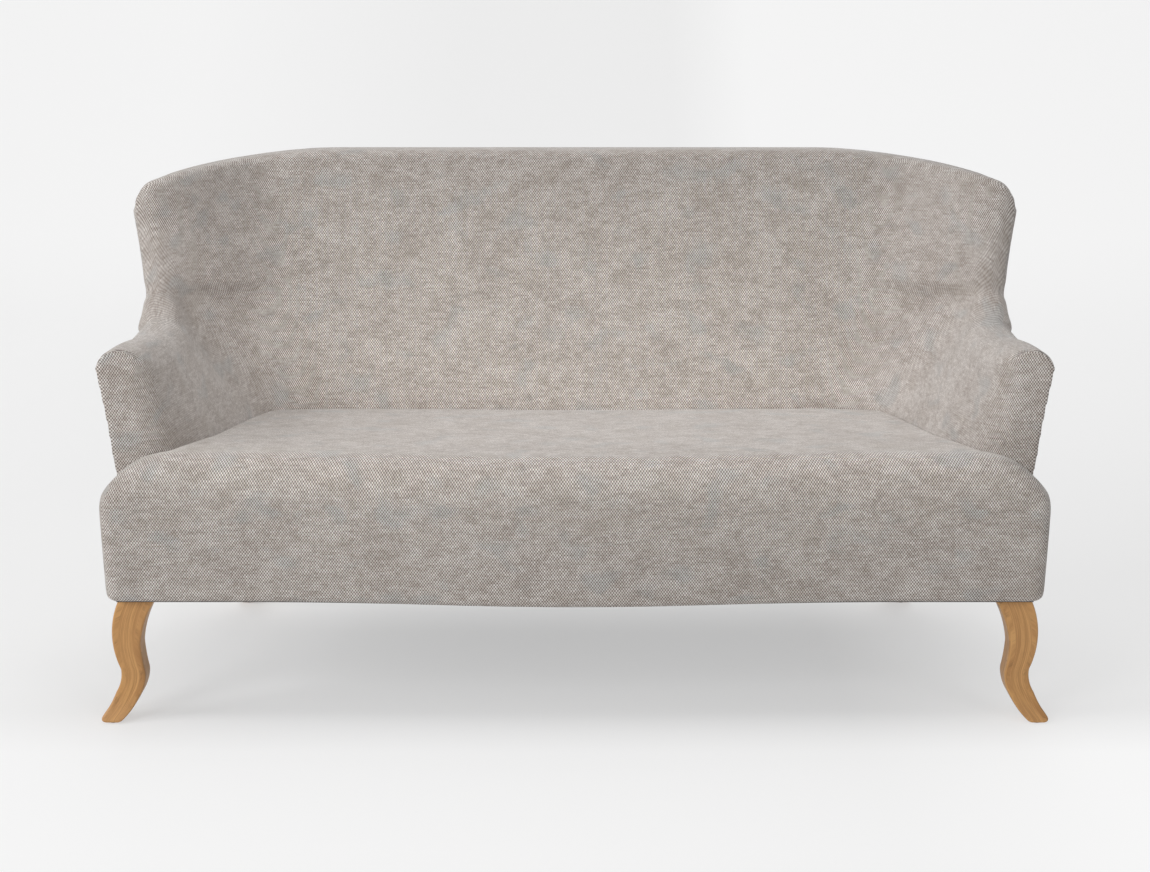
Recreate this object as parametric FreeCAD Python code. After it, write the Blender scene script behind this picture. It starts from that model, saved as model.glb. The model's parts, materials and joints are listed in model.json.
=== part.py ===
"""Upholstered two-seat sofa: crowned T-shaped seat, fan back with wings, scoop arms, carved legs."""
import FreeCAD, Part
import math
import os
from FreeCAD import Vector

os.makedirs("parts", exist_ok=True)

# Millimetres. X runs across the sofa. Depth is measured back from the straight part of the
# seat front. Z is the height above the floor. Left is the side of negative X.

# Clearances and sheet thicknesses
gap = 0.3
cover = 2.5
board = 4.0

# Seat cushion with its ears in front of the arms
hem = 227.0
seat_height = 480.0
seat_depth = 541.0
seat_half = 833.0
foot_draw = 8.0
ear_drop = 62.0
widest_drop = 20.0
shoulder_width = 153.0
ear_corner = 24.0
hem_corner = 12.0
bow = 30.0
bow_half = 480.0
front_roll = 75.0
front_rise = 62.0
ear_roll = 30.0
ear_rise = 22.0
seat_fall = 19.0
seat_crown = 4.0
front_draw = 4.0
face_swell = 0.6

# Outer side of the body, set in from the seat and narrower towards the rear
arm_front = 112.0
side_set = 13.0
side_taper = 75.0
side_taper_set = 87.0
arm_break_lift = 19.0
arm_lean = 0.161
rear_lean = 0.225

# Arms, with their widths measured inwards from the outer side
arm_rise = 179.0
arm_shoulder_drop = 30.0
arm_inner_drop = 47.0
arm_crest_set = 17.0
arm_width_front = 66.0
arm_width_mid = 85.0
arm_width_rear = 48.0
seat_line_set_front = 89.0
seat_line_set_mid = 146.0
seat_line_set_rear = 188.0
seat_line_turn = 15.0
seat_line_turn_length = 52.0
flare_length = 120.0
wing_length = 118.0
wing_rise = 50.0
outer_roll = (0.36, 0.75)
inner_roll = (0.25, 0.68)

# Back
back_height = 963.0
back_depth = 146.0
back_corner_depth = 41.0
back_sink = 2.0
back_rake = 0.2495
rear_rake = 0.088
flat_set_low = 343.0
flat_half_gain = 138.0
corner_set_low = 198.0
corner_spread = 0.84
wing_spread = 27.0
wing_flare = 18.0
wing_flare_lift = 33.0
wing_flare_rise = 161.0
wing_tip_width = 23.0
wing_tip_rake = 0.16
wing_tip_round = 12.0
plain_sag = 1.5
rear_narrowing = 14.0
rear_corner = 22.0

# Crest outline seen from the front, measured from the wings and down from the top
crest_flat_set = 332.0
crest_bend_set = 35.0
crest_bend_drop = 47.0
crest_sag = 13.0
crest_side_spare = 23.0
crest_side_drop = 98.0
crest_corner_bulge = 10.0

# Timber frame
rail_lift = 3.0
rail_height = 105.0
rail_thickness = 25.0
border_pad = 14.0
rail_bow = 20.0
side_rail_set = 13.0
side_rail_taper = 0.132
rear_rail_set = 35.0
block_leg = 75.0
block_height = 58.0
stretcher_half = 250.0
stretcher_height = 60.0
post_set = 69.0
post_width = 30.0
post_lean = 0.17
post_front_set = 59.0
post_front_rake = 0.085
crest_pad = 24.0
crest_rail_height = 93.0
lower_rail_lift = 21.0
lower_rail_height = 60.0
slat_thickness = 22.0
slat_half = 230.0
slat_width = 45.0
arm_panel_pad = 22.0
arm_panel_set = 18.0
arm_panel_thickness = 18.0
arm_rail_width = 28.0
arm_rail_height = 45.0
top_rail_set = 23.0
top_rail_drop = 79.0
low_rail_set = 50.0
low_rail_lift = 11.0
wing_panel_thickness = 12.0
wing_panel_set = 24.0
wing_panel_lift = 25.0
wing_panel_drop = 3.0
wing_panel_corner = 60.0

# Webbing, pads and dust cover
strap_thickness = 2.0
strap_width = 50.0
strap_landing = 22.0
seat_strap_spacing = 140.0
seat_strap_edge = 92.0
cross_strap_spacing = 100.0
cross_strap_set = 83.0
cross_strap_edge = 142.0
back_strap_spacing = 170.0
back_strap_edge = 136.0
back_cross_spacing = 80.0
back_cross_low_edge = 37.0
back_cross_high_edge = 32.0
felt_thickness = 4.0
dust_thickness = 1.0

# Legs
leg_depth = 41.0
leg_side_set = 1.5
front_leg_set = 11.0
rear_leg_overhang = 6.5
rear_leg_set = 2.0
# Leg outline in the front view, as half width outwards of the leg's inner top corner and
# height, each stretch an arc through its middle point
leg_top_width = 65.0
leg_outer_line = ((65.0, 230.0), (82.0, 160.0), (70.0, 96.0), (71.0, 74.0), (80.0, 52.0),
                  (91.0, 29.0), (104.0, 10.0), (104.0, 3.5), (99.0, 0.0))
leg_inner_line = ((72.0, 0.0), (54.0, 18.0), (39.0, 42.0), (29.0, 64.0), (26.0, 88.0),
                  (30.0, 115.0), (32.0, 141.0), (21.0, 188.0), (0.0, 230.0))
# Leg outline in the side view, as distance towards the kick and height
leg_kick = 23.0
leg_kick_line = ((0.0, 230.0), (0.0, 165.0), (0.0, 100.0), (5.0, 42.0), (23.0, 0.0))
leg_draw = 6.0
leg_window = 1.0
bolt_radius = 4.0
bolt_depth = 28.0
bolt_shift = 8.0
bolt_spare = 4.4
head_across = 13.0
head_height = 5.5
glide_radius = 9.0
glide_height = 2.0

# Heights that follow from the sizes above
ear_top = seat_height - ear_drop
widest_height = ear_top - widest_drop
arm_break = ear_top + arm_break_lift
arm_crest = seat_height + arm_rise
arm_shoulder = arm_crest - arm_shoulder_drop
arm_inner_top = arm_crest - arm_inner_drop
wing_root = arm_shoulder + wing_rise
wing_flare_start = wing_root + wing_flare_lift
back_foot_height = seat_height - seat_fall - back_sink
crest_bend_height = back_height - crest_bend_drop
crest_side_height = back_height - crest_side_drop
rail_bottom = hem + rail_lift
rail_top = rail_bottom + rail_height
crest_rail_bottom = back_height - crest_rail_height
lower_rail_bottom = back_foot_height + lower_rail_lift
low_rail_bottom = back_foot_height + low_rail_lift
top_rail_bottom = arm_crest - top_rail_drop
top_rail_top = top_rail_bottom + arm_rail_height
wing_panel_bottom = top_rail_top + wing_panel_lift
wing_panel_top = crest_side_height - wing_panel_drop
felt_bottom = rail_top + 2 * gap + 2 * strap_thickness + gap
foam_bottom = felt_bottom + felt_thickness + gap
pad_foot = rail_bottom + gap
leg_height = rail_bottom - glide_height

# Depths that follow
arm_end = seat_depth - back_corner_depth
back_start = arm_end + gap
flare_end = arm_front + flare_length
wing_start = arm_end - wing_length
seat_line_bend = arm_end - seat_line_turn_length
rear_foot = seat_depth + back_depth
side_rear_mark = rear_foot - side_taper_set
rear_rail_depth = rear_foot - rear_rail_set
rail_rear = rear_rail_depth + rail_thickness
post_front_foot = rear_foot - post_front_set
post_rear_offset = cover + 2 * gap + board
arm_panel_depth = arm_front + arm_panel_set
wing_panel_front = seat_depth + wing_panel_set
front_leg_middle = border_pad + front_leg_set + 0.5 * leg_depth
rear_leg_middle = rear_rail_depth - rear_leg_set
rear_most = rear_foot + rear_rake * (back_height - hem)
front_line = -0.5 * (rear_most - bow)

# Half widths that follow
seat_foot_half = seat_half - foot_draw
shoulder_start = seat_half - shoulder_width
side_half_front = seat_half - side_set
side_half_rear = side_half_front - side_taper
arm_crest_half = side_half_front - arm_crest_set
arm_inner_half_front = side_half_front - arm_width_front
arm_inner_half_mid = side_half_front - arm_width_mid
arm_inner_half_rear = side_half_front - arm_width_rear
seat_line_front = side_half_front - seat_line_set_front
seat_line_mid = side_half_front - seat_line_set_mid
seat_line_rear = side_half_front - seat_line_set_rear
flat_half_low = side_half_front - flat_set_low
corner_half_low = side_half_front - corner_set_low
wing_half = side_half_front + wing_spread
crest_side_half = wing_half + crest_side_spare
crest_bend_half = crest_side_half - crest_bend_set
crest_flat_half = side_half_front - crest_flat_set
side_rail_half_front = seat_foot_half - side_rail_set
post_foot_half = side_half_rear - post_set
top_rail_half_front = side_half_front - top_rail_set
low_rail_half_front = side_half_front - low_rail_set
front_leg_half = side_rail_half_front - leg_side_set - 0.5 * leg_top_width
rear_leg_half = post_foot_half + rear_leg_overhang - 0.5 * leg_top_width

# Lifts of the layers over one another
pad_inset = cover + gap
strap_lift = gap + strap_thickness + 0.5 * gap
strap_wave = 0.5 * (strap_thickness + gap)

# Everything beyond the sofa, and the least step that counts as a bend
far = 1200.0
line_tolerance = 0.001


def lerp(a, b, share):
    return a + (b - a) * share


def point(x, depth, z):
    return Vector(x, depth, z)


def segment(a, b):
    return Part.LineSegment(a, b).toShape()


def arc(a, middle, b):
    return Part.Arc(a, middle, b).toShape()


def bend(a, middle, b, plain):
    """Rounded stretch of a section, or its two chords inside the wadding."""
    if plain:
        return [segment(a, middle), segment(middle, b)]
    straight = (middle - a).cross(b - a).Length < line_tolerance
    return [segment(a, b)] if straight else [arc(a, middle, b)]


def loft(wires):
    """Solid through sections, straight from each one to the next."""
    return Part.makeLoft(wires, True, True)


def prism(corners, travel):
    outline = Part.makePolygon(corners + corners[:1])
    return Part.Face(outline).extrude(travel)


def block(x0, x1, depth0, depth1, z0, z1):
    return Part.makeBox(x1 - x0, depth1 - depth0, z1 - z0, Vector(x0, depth0, z0))


def mirrored(shape):
    return shape.mirror(Vector(0, 0, 0), Vector(1, 0, 0))


def cut_all(shape, tools):
    for tool in tools:
        shape = shape.cut(tool)
    return shape


def save(node, shape):
    placed = shape.copy()
    placed.translate(Vector(0, front_line, 0))
    solids = placed.Solids
    if not solids:
        raise RuntimeError("no solid in " + node)
    result = solids[0] if len(solids) == 1 else Part.makeCompound(solids)
    result.exportStep("parts/" + node + ".step")
    volume = sum(solid.Volume for solid in solids)
    print(node, len(solids), "solids", round(volume / 1000.0), "cm3", result.isValid())


def save_pair(name, right):
    save(name + "_right", right)
    save(name + "_left", mirrored(right))


# Body surfaces

def side_half(depth, z):
    """Half width of the outer side of the body at a depth and a height."""
    front = side_half_front + arm_lean * max(0.0, z - arm_break)
    rear = side_half_rear + rear_lean * (z - hem)
    return lerp(front, rear, (depth - arm_front) / (side_rear_mark - arm_front))


def wing_outline(z):
    rise = max(0.0, z - wing_flare_start) / wing_flare_rise
    return wing_half + wing_flare * rise ** 1.4


def back_face(z):
    return seat_depth + back_rake * max(0.0, z - back_foot_height)


def rear_face(z):
    return rear_foot + rear_rake * (z - hem)


def wing_height_gain(depth):
    share = max(0.0, depth - wing_start) / (arm_end - wing_start)
    return wing_rise * share ** 2


def flare(depth):
    """How far the arm has opened towards its front, from 0 to 1."""
    return (flare_end - depth) / (flare_end - arm_front)


def seat_line(depth):
    """Half width between the arms where they meet the seat."""
    if depth < flare_end:
        return lerp(seat_line_mid, seat_line_front, flare(depth))
    slope = (seat_line_rear - seat_line_mid) / (seat_line_bend - flare_end)
    half = seat_line_mid + slope * (depth - flare_end)
    turn = max(0.0, depth - seat_line_bend) / (arm_end - seat_line_bend)
    return half - seat_line_turn * turn ** 2


def arm_inner_half(depth):
    if depth < flare_end:
        return lerp(arm_inner_half_mid, arm_inner_half_front, flare(depth))
    share = max(0.0, depth - wing_start) / (arm_end - wing_start)
    return lerp(arm_inner_half_mid, arm_inner_half_rear, share)


# Soft forms. An inset of zero gives the outside of the covers.

def seat_shoulder(x):
    reach = max(0.0, abs(x) - shoulder_start) / (seat_half - shoulder_start)
    return max(0.0, 1.0 - reach ** 3) ** 0.9


def seat_station(x, inset, foot, plain):
    """Section of the seat from front to back at one place across the sofa."""
    shoulder = seat_shoulder(x)
    past = max(0.0, abs(x) - (seat_half - ear_corner))
    front = ear_corner - math.sqrt(max(0.0, ear_corner ** 2 - past ** 2)) + inset
    if abs(x) < bow_half:
        front -= 0.5 * bow * (1.0 + math.cos(math.pi * x / bow_half))
    top = lerp(ear_top, seat_height, shoulder) - inset
    roll = lerp(ear_roll, front_roll, shoulder)
    rise = lerp(ear_rise, front_rise, shoulder)
    rear = rear_foot
    run = rear - front - roll
    end = top - seat_fall * run / (seat_depth - front_roll)
    low_front = front + front_draw
    side_draw = (seat_half - seat_foot_half) / (widest_height - hem)

    def at(depth, z):
        share = (seat_half - inset - side_draw * (widest_height - z)) / seat_half
        return point(x * share, depth, z)
    a = at(low_front + hem_corner, foot)
    b = at(low_front, foot + hem_corner)
    c = at(front, top - rise)
    d = at(front + roll, top)
    e = at(rear, end)
    f = at(rear, foot)
    turn = 1.0 - math.sqrt(0.5)
    hem_middle = at(low_front + turn * hem_corner, foot + turn * hem_corner)
    face_middle = at(front + 0.15 * front_draw, lerp(b.z, c.z, face_swell))
    roll_middle = at(front + turn * roll, top - turn * rise)
    top_middle = at(lerp(d.y, e.y, 0.5), lerp(d.z, e.z, 0.5) + seat_crown)
    return Part.Wire(bend(a, hem_middle, b, plain) + bend(b, face_middle, c, plain)
                     + bend(c, roll_middle, d, plain) + bend(d, top_middle, e, plain)
                     + [segment(e, f), segment(f, a)])


def seat_form(inset, foot, plain=False):
    edge = seat_half - ear_corner
    halves = [bow_half * share for share in (0.0, 0.22, 0.5, 0.78, 1.0)]
    halves += [lerp(shoulder_start, edge, share) for share in (0.0, 0.5, 0.8, 1.0)]
    halves += [edge + ear_corner * share for share in (0.5, 0.85, 1.0)]
    places = [-half for half in reversed(halves[1:])] + halves
    form = loft([seat_station(x, inset, foot, plain) for x in places])
    corner = hem_corner_waste(inset)
    return form.cut(corner).cut(mirrored(corner))


def hem_corner_waste(inset):
    """What is outside the rounded lower corner at the right end of the seat."""
    low, r = seat_foot_half, hem_corner
    bend = r - inset
    turn = bend * math.sqrt(0.5)

    def at(x, z):
        return point(x, -far, z)
    outline = Part.Wire([
        segment(at(low - r, 0), at(low - r, hem + inset)),
        arc(at(low - r, hem + inset), at(low - r + turn, hem + r - turn), at(low - inset, hem + r)),
        segment(at(low - inset, hem + r), at(low + far, hem + r)),
        segment(at(low + far, hem + r), at(low + far, 0)),
        segment(at(low + far, 0), at(low - r, 0)),
    ])
    return Part.Face(outline).extrude(Vector(0, 2 * far, 0))


def beside_seat():
    """Room of the right arm and side, behind the ears of the seat."""
    near, deep = arm_front - gap, rear_foot + cover
    start, end = arm_panel_pad + cover, 2 * (arm_panel_pad + cover)
    corners = [point(side_half_front - start, near, 0), point(far, near, 0), point(far, deep, 0),
               point(side_half_rear - end, deep, 0)]
    return prism(corners, Vector(0, 0, far))


def arm_profile(depth, inset, foot, place=None, plain=False):
    """Section of the right arm across the sofa at one depth."""
    place = depth if place is None else place
    gain = wing_height_gain(depth)
    low = seat_line(depth) + inset
    shoulder_z = arm_shoulder + gain
    inner_z = arm_inner_top + 0.9 * gain
    crest_x = lerp(arm_crest_half, side_half(depth, shoulder_z) - 0.5 * arm_rail_width,
                   gain / wing_rise)
    a = point(low, place, foot)
    b = point(side_half(depth, hem) - inset, place, foot)
    c = point(side_half(depth, arm_break) - inset, place, arm_break)
    d = point(side_half(depth, shoulder_z) - inset, place, shoulder_z)
    e = point(crest_x, place, arm_crest + gain - inset)
    f = point(arm_inner_half(depth) + inset, place, inner_z)
    g = point(low, place, back_foot_height)
    outer = point(lerp(d.x, e.x, outer_roll[0]), place, lerp(d.z, e.z, outer_roll[1]))
    inner = point(lerp(f.x, e.x, inner_roll[0]), place, lerp(f.z, e.z, inner_roll[1]))
    return Part.Wire([segment(a, b), segment(b, c), segment(c, d)] + bend(d, outer, e, plain)
                     + bend(e, inner, f, plain) + [segment(f, g), segment(g, a)])


def arm_form(inset, foot, start, past=0.0, plain=False):
    """Right arm from a starting depth to its end and straight on past it."""
    marks = [arm_front, flare_end, wing_start, lerp(wing_start, arm_end, 0.55), arm_end]
    places = [start] + marks[1:]
    if past > 0.0:
        marks.append(arm_end)
        places.append(arm_end + past)
    return loft([arm_profile(m, inset, foot, p, plain) for m, p in zip(marks, places)])


def back_section(z, inset, plain):
    """Level section of the back with its wings."""
    share = max(0.0, z - back_foot_height) / (back_height - back_foot_height)
    flat = flat_half_low + flat_half_gain * share ** 0.8
    face = back_face(z) + inset
    outline = wing_outline(z)
    free = min(1.0, max(0.0, (z - wing_root) / (wing_flare_start - wing_root)))
    nose_round = wing_tip_round * free
    tip = back_start + 0.5 * nose_round + wing_tip_rake * max(0.0, z - wing_flare_start) + inset
    spread = corner_half_low + corner_spread * max(0.0, z - back_foot_height)
    corner = min(spread, outline - wing_tip_width) + 0.5 * inset
    side = min(side_half(tip + nose_round, z), outline) - inset
    rear = rear_face(z) - inset
    rear_side = min(side_half(rear - rear_corner, z), outline - rear_narrowing) - inset
    run, drop = corner - flat, face - tip
    chord = math.hypot(run, drop)
    angle = math.atan2(drop, run)
    sag = 0.5 * chord * math.tan(0.5 * angle) * (plain_sag if plain else 1.0)
    sweep = (0.5 * (flat + corner) + sag * math.sin(angle),
             0.5 * (face + tip) + sag * math.cos(angle))
    nose = (0.5 * (corner + side), tip - 0.5 * nose_round)
    turn = (1.0 - math.sqrt(0.5)) * rear_corner
    ends = [(flat, face), (corner, tip), (side, tip + nose_round),
            (rear_side, rear - rear_corner), (rear_side - rear_corner, rear)]
    bends = [sweep, nose, None, (rear_side - turn, rear - turn)]
    edges = [segment(point(-flat, face, z), point(flat, face, z))]
    for sign, order in ((1, range(4)), (-1, reversed(range(4)))):
        for k in order:
            a, b = point(sign * ends[k][0], ends[k][1], z), point(sign * ends[k + 1][0], ends[k + 1][1], z)
            start, finish = (a, b) if sign > 0 else (b, a)
            if bends[k] is None:
                edges.append(segment(start, finish))
            else:
                middle = point(sign * bends[k][0], bends[k][1], z)
                edges += bend(start, middle, finish, plain)
        if sign > 0:
            a = point(ends[4][0], rear, z)
            edges.append(segment(a, point(-ends[4][0], rear, z)))
    return Part.Wire(edges)


def crest_outline(lower, foot, plain=False):
    """Front view outline of the back, lowered and narrowed by one amount."""
    top = back_height - lower
    side = crest_side_half - lower
    bend_end = (crest_bend_half - 0.6 * lower, crest_bend_height - lower)
    side_z = crest_side_height - 0.6 * lower
    middle = (0.5 * (crest_flat_half + bend_end[0]), 0.5 * (top + bend_end[1]) + crest_sag)
    corner = (0.5 * (bend_end[0] + side) + 0.7 * crest_corner_bulge,
              0.5 * (bend_end[1] + side_z) + 0.5 * crest_corner_bulge)

    def at(x, z):
        return point(x, -far, z)

    outline = Part.Wire(
        [segment(at(-side, foot), at(side, foot)), segment(at(side, foot), at(side, side_z))]
        + bend(at(side, side_z), at(*corner), at(*bend_end), plain)
        + bend(at(*bend_end), at(*middle), at(crest_flat_half, top), plain)
        + [segment(at(crest_flat_half, top), at(-crest_flat_half, top))]
        + bend(at(-crest_flat_half, top), at(-middle[0], middle[1]), at(-bend_end[0], bend_end[1]), plain)
        + bend(at(-bend_end[0], bend_end[1]), at(-corner[0], corner[1]), at(-side, side_z), plain)
        + [segment(at(-side, side_z), at(-side, foot))])
    return Part.Face(outline).extrude(Vector(0, 2 * far, 0))


def back_form(inset, foot, plain=False):
    """Back with its wings, uncut at the arms."""
    low = loft([back_section(z, inset, plain) for z in (foot, back_foot_height)])
    heights = [back_foot_height, arm_inner_top, wing_root, wing_flare_start,
               lerp(wing_flare_start, crest_side_height, 0.5), crest_side_height - pad_inset,
               crest_bend_height, back_height + cover]
    high = loft([back_section(z, inset, plain) for z in heights])
    return low.fuse(high).common(crest_outline(inset, foot, plain))


# Raked planes of the back frame

def post_front(z):
    return post_front_foot + post_front_rake * (z - rail_bottom)


def post_rear(z):
    return rear_face(z) - post_rear_offset


def raked_slab(front_at, rear_at):
    """Everything across the sofa between two raked planes given as depths by height."""
    low, high = 0.5 * hem, back_height + hem
    corners = [point(-far, front_at(low), low), point(-far, rear_at(low), low),
               point(-far, rear_at(high), high), point(-far, front_at(high), high)]
    return prism(corners, Vector(2 * far, 0, 0))


def upright(low_x, high_x, z0, z1, lean=0.0):
    """Board outline in the front view, leaning outwards, as deep as everything."""
    def lean_at(z):
        return lean * (z - rail_bottom)
    corners = [point(low_x + lean_at(z0), -far, z0), point(high_x + lean_at(z0), -far, z0),
               point(high_x + lean_at(z1), -far, z1), point(low_x + lean_at(z1), -far, z1)]
    return prism(corners, Vector(0, 2 * far, 0))


# Timber frame

def side_rail_half(depth):
    return side_rail_half_front - side_rail_taper * (depth - border_pad)


def frame_zone(grow, z0, z1):
    """Block that the seat frame fills, grown all round by a clearance."""
    rear = post_rear(rail_bottom) + board + 2 * grow
    front = border_pad - grow
    wide_front = side_rail_half(border_pad) + grow
    wide_rear = side_rail_half(rear) + grow
    nose = point(0, front - rail_bow, z0)
    outline = Part.Wire([
        segment(point(wide_front, front, z0), point(wide_rear, rear, z0)),
        segment(point(wide_rear, rear, z0), point(-wide_rear, rear, z0)),
        segment(point(-wide_rear, rear, z0), point(-wide_front, front, z0)),
        segment(point(-wide_front, front, z0), point(-bow_half, front, z0)),
        arc(point(-bow_half, front, z0), nose, point(bow_half, front, z0)),
        segment(point(bow_half, front, z0), point(wide_front, front, z0)),
    ])
    return Part.Face(outline).extrude(Vector(0, 0, z1 - z0))


def make_front_rail():
    zone = frame_zone(0.0, rail_bottom, rail_top)
    return zone.common(block(-far, far, -far, border_pad + rail_thickness, 0, far))


def make_back_post():
    outline = upright(post_foot_half, post_foot_half + post_width, rail_bottom, back_height, post_lean)
    post = outline.common(raked_slab(post_front, post_rear))
    return post.common(crest_outline(crest_pad, rail_bottom))


def make_rear_rail(posts):
    rail = block(-post_foot_half - post_width, post_foot_half + post_width,
                 rear_rail_depth, rail_rear, rail_bottom, rail_top)
    rail = rail.common(raked_slab(lambda z: 0.0, post_rear))
    rail = cut_all(rail, posts)
    return max(rail.Solids, key=lambda solid: solid.Volume)


def make_side_rail():
    start = border_pad + rail_thickness
    end = rail_rear
    corners = [point(side_rail_half(start), start, rail_bottom),
               point(side_rail_half(end), end, rail_bottom),
               point(side_rail_half(end) - rail_thickness, end, rail_bottom),
               point(side_rail_half(start) - rail_thickness, start, rail_bottom)]
    rail = prism(corners, Vector(0, 0, rail_height))
    return rail.cut(raked_slab(post_front, lambda z: far))


def leg_bolt_places():
    """Right hand bolt places as half width and depth, front and rear."""
    spare = bolt_radius + bolt_spare
    return ((front_leg_half - bolt_shift, border_pad + rail_thickness + spare),
            (rear_leg_half - bolt_shift, rear_rail_depth - spare))


def make_corner_blocks():
    def inner(depth):
        return side_rail_half(depth) - rail_thickness
    front = border_pad + rail_thickness
    first = [point(inner(front), front, rail_bottom),
             point(inner(front) - block_leg, front, rail_bottom),
             point(inner(front + block_leg), front + block_leg, rail_bottom)]
    rear = rear_rail_depth
    post_side = post_foot_half - gap
    second = [point(post_side - block_leg - head_across, rear, rail_bottom),
              point(post_side, rear, rail_bottom),
              point(post_side, post_front_foot - gap, rail_bottom),
              point(inner(post_front_foot - gap), post_front_foot - gap, rail_bottom),
              point(inner(rear - block_leg), rear - block_leg, rail_bottom)]
    blocks = []
    for corners, (x, depth) in zip((first, second), leg_bolt_places()):
        piece = prism(corners, Vector(0, 0, block_height))
        bore = Part.makeCylinder(bolt_radius + gap, 2 * far, point(x, depth, 0))
        piece = piece.cut(bore)
        blocks += [piece, mirrored(piece)]
    return Part.makeCompound(blocks)


def make_stretchers():
    front, rear = border_pad + rail_thickness, rear_rail_depth
    bars = []
    for x in (-stretcher_half, stretcher_half):
        half = 0.5 * rail_thickness
        bars.append(block(x - half, x + half, front, rear, rail_bottom, rail_bottom + stretcher_height))
    return Part.makeCompound(bars)


def arm_panel(grow):
    profile = arm_profile(arm_panel_depth, arm_panel_pad - grow, rail_top - grow,
                          arm_panel_depth - grow)
    return Part.Face(profile).extrude(Vector(0, arm_panel_thickness + 2 * grow, 0))


def arm_rail(half_front, bottom, grow):
    """Rail from the arm panel back to the front face of the back post."""
    start = arm_panel_depth + arm_panel_thickness - grow
    end = post_rear(bottom)
    height = arm_rail_height + 2 * grow
    width = arm_rail_width + 2 * grow
    rear_half = post_foot_half + 0.5 * post_width + post_lean * (bottom + 0.5 * height - rail_bottom)

    def outline(half, depth):
        low, high = half - 0.5 * width, half + 0.5 * width
        z0, z1 = bottom - grow, bottom - grow + height
        return Part.makePolygon([point(low, depth, z0), point(high, depth, z0),
                                 point(high, depth, z1), point(low, depth, z1),
                                 point(low, depth, z0)])
    bar = loft([outline(half_front, start), outline(rear_half, end)])
    return bar.cut(raked_slab(lambda z: post_front(z) + grow, lambda z: far))


def top_rail(grow):
    return arm_rail(top_rail_half_front, top_rail_bottom, grow)


def low_rail(grow):
    return arm_rail(low_rail_half_front, low_rail_bottom, grow)


def wing_panel(grow):
    inside = post_foot_half + post_width - grow
    thick = wing_panel_thickness + 2 * grow
    sheet = upright(inside, inside + thick, wing_panel_bottom - grow, wing_panel_top + grow, post_lean)
    z0, z1 = wing_panel_bottom - grow, wing_panel_top + grow
    front, rear = wing_panel_front - grow, post_rear(wing_panel_bottom) - 2 * gap + grow
    bend = wing_panel_corner
    turn = (1.0 - math.sqrt(0.5)) * bend
    outline = Part.Wire([
        segment(point(0, front, z0), point(0, rear, z0)),
        segment(point(0, rear, z0), point(0, rear, z1)),
        segment(point(0, rear, z1), point(0, front + bend, z1)),
        arc(point(0, front + bend, z1), point(0, front + turn, z1 - turn), point(0, front, z1 - bend)),
        segment(point(0, front, z1 - bend), point(0, front, z0)),
    ])
    return sheet.common(Part.Face(outline).extrude(Vector(far, 0, 0)))


def make_crest_rail(posts):
    rail = crest_outline(crest_pad, hem).common(raked_slab(post_front, post_rear))
    rail = rail.common(block(-far, far, -far, far, crest_rail_bottom, far))
    rail = cut_all(rail, posts)
    return max(rail.Solids, key=lambda solid: solid.Volume)


def make_lower_rail(posts):
    rail = block(-far, far, -far, far, lower_rail_bottom, lower_rail_bottom + lower_rail_height)
    rail = rail.common(raked_slab(post_front, lambda z: post_front(z) + slat_thickness))
    rail = cut_all(rail, posts)
    return min(rail.Solids, key=lambda solid: abs(solid.CenterOfMass.x))


def make_back_slats():
    slats = []
    for x in (-slat_half, slat_half):
        low, high = x - 0.5 * slat_width, x + 0.5 * slat_width
        slat = upright(low, high, rail_top, crest_rail_bottom)
        slats.append(slat.common(raked_slab(lambda z: post_rear(z) - slat_thickness, post_rear)))
    return Part.makeCompound(slats)


def make_back_board():
    wide = post_foot_half + post_width
    outline = upright(-far, wide, rail_bottom, back_height, post_lean)
    outline = outline.common(mirrored(outline))
    start = post_rear_offset - gap
    slab = raked_slab(lambda z: rear_face(z) - start, lambda z: rear_face(z) - start + board)
    return outline.common(slab).common(crest_outline(crest_pad, rail_bottom))


def back_hollow():
    """Room for the back frame behind the padding, open to the rear and below."""
    low, high = 0.5 * hem, back_height

    def half(z):
        return post_foot_half + post_width + gap + post_lean * (z - rail_bottom)
    corners = [point(-half(low), -far, low), point(half(low), -far, low),
               point(half(high), -far, high), point(-half(high), -far, high)]
    outline = prism(corners, Vector(0, 2 * far, 0))
    allowance = strap_lift + strap_wave + 0.5 * strap_thickness + gap
    slab = raked_slab(lambda z: post_front(z) - allowance, lambda z: far)
    return outline.common(slab).common(crest_outline(crest_pad - gap, 0.5 * hem))


# Elastic webbing

def strap(start, end, across, crossings, over_first):
    """Strap along local X that passes over and under the straps that cross it."""
    level = {True: strap_lift + strap_wave, False: strap_lift - strap_wave}
    line = [(start, level[False])]
    over = over_first
    for mark in crossings:
        line.append((mark - 0.5 * strap_width, level[over]))
        line.append((mark + 0.5 * strap_width, level[over]))
        over = not over
    line.append((end, level[False]))
    half = 0.5 * strap_thickness
    side = across - 0.5 * strap_width
    corners = [Vector(u, side, h - half) for u, h in line]
    corners += [Vector(u, side, h + half) for u, h in reversed(line)]
    return prism(corners, Vector(0, strap_width, 0))


def quarter_turn(shape):
    """Turn a strap along local X into one along local Y, heights kept."""
    return shape.mirror(Vector(0, 0, 0), Vector(1, -1, 0))


def between(first, last, least):
    """Evenly spread places from a first to a last one, no closer together than a least spacing."""
    count = max(1, int((last - first) / least))
    return [lerp(first, last, k / count) for k in range(count + 1)]


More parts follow.
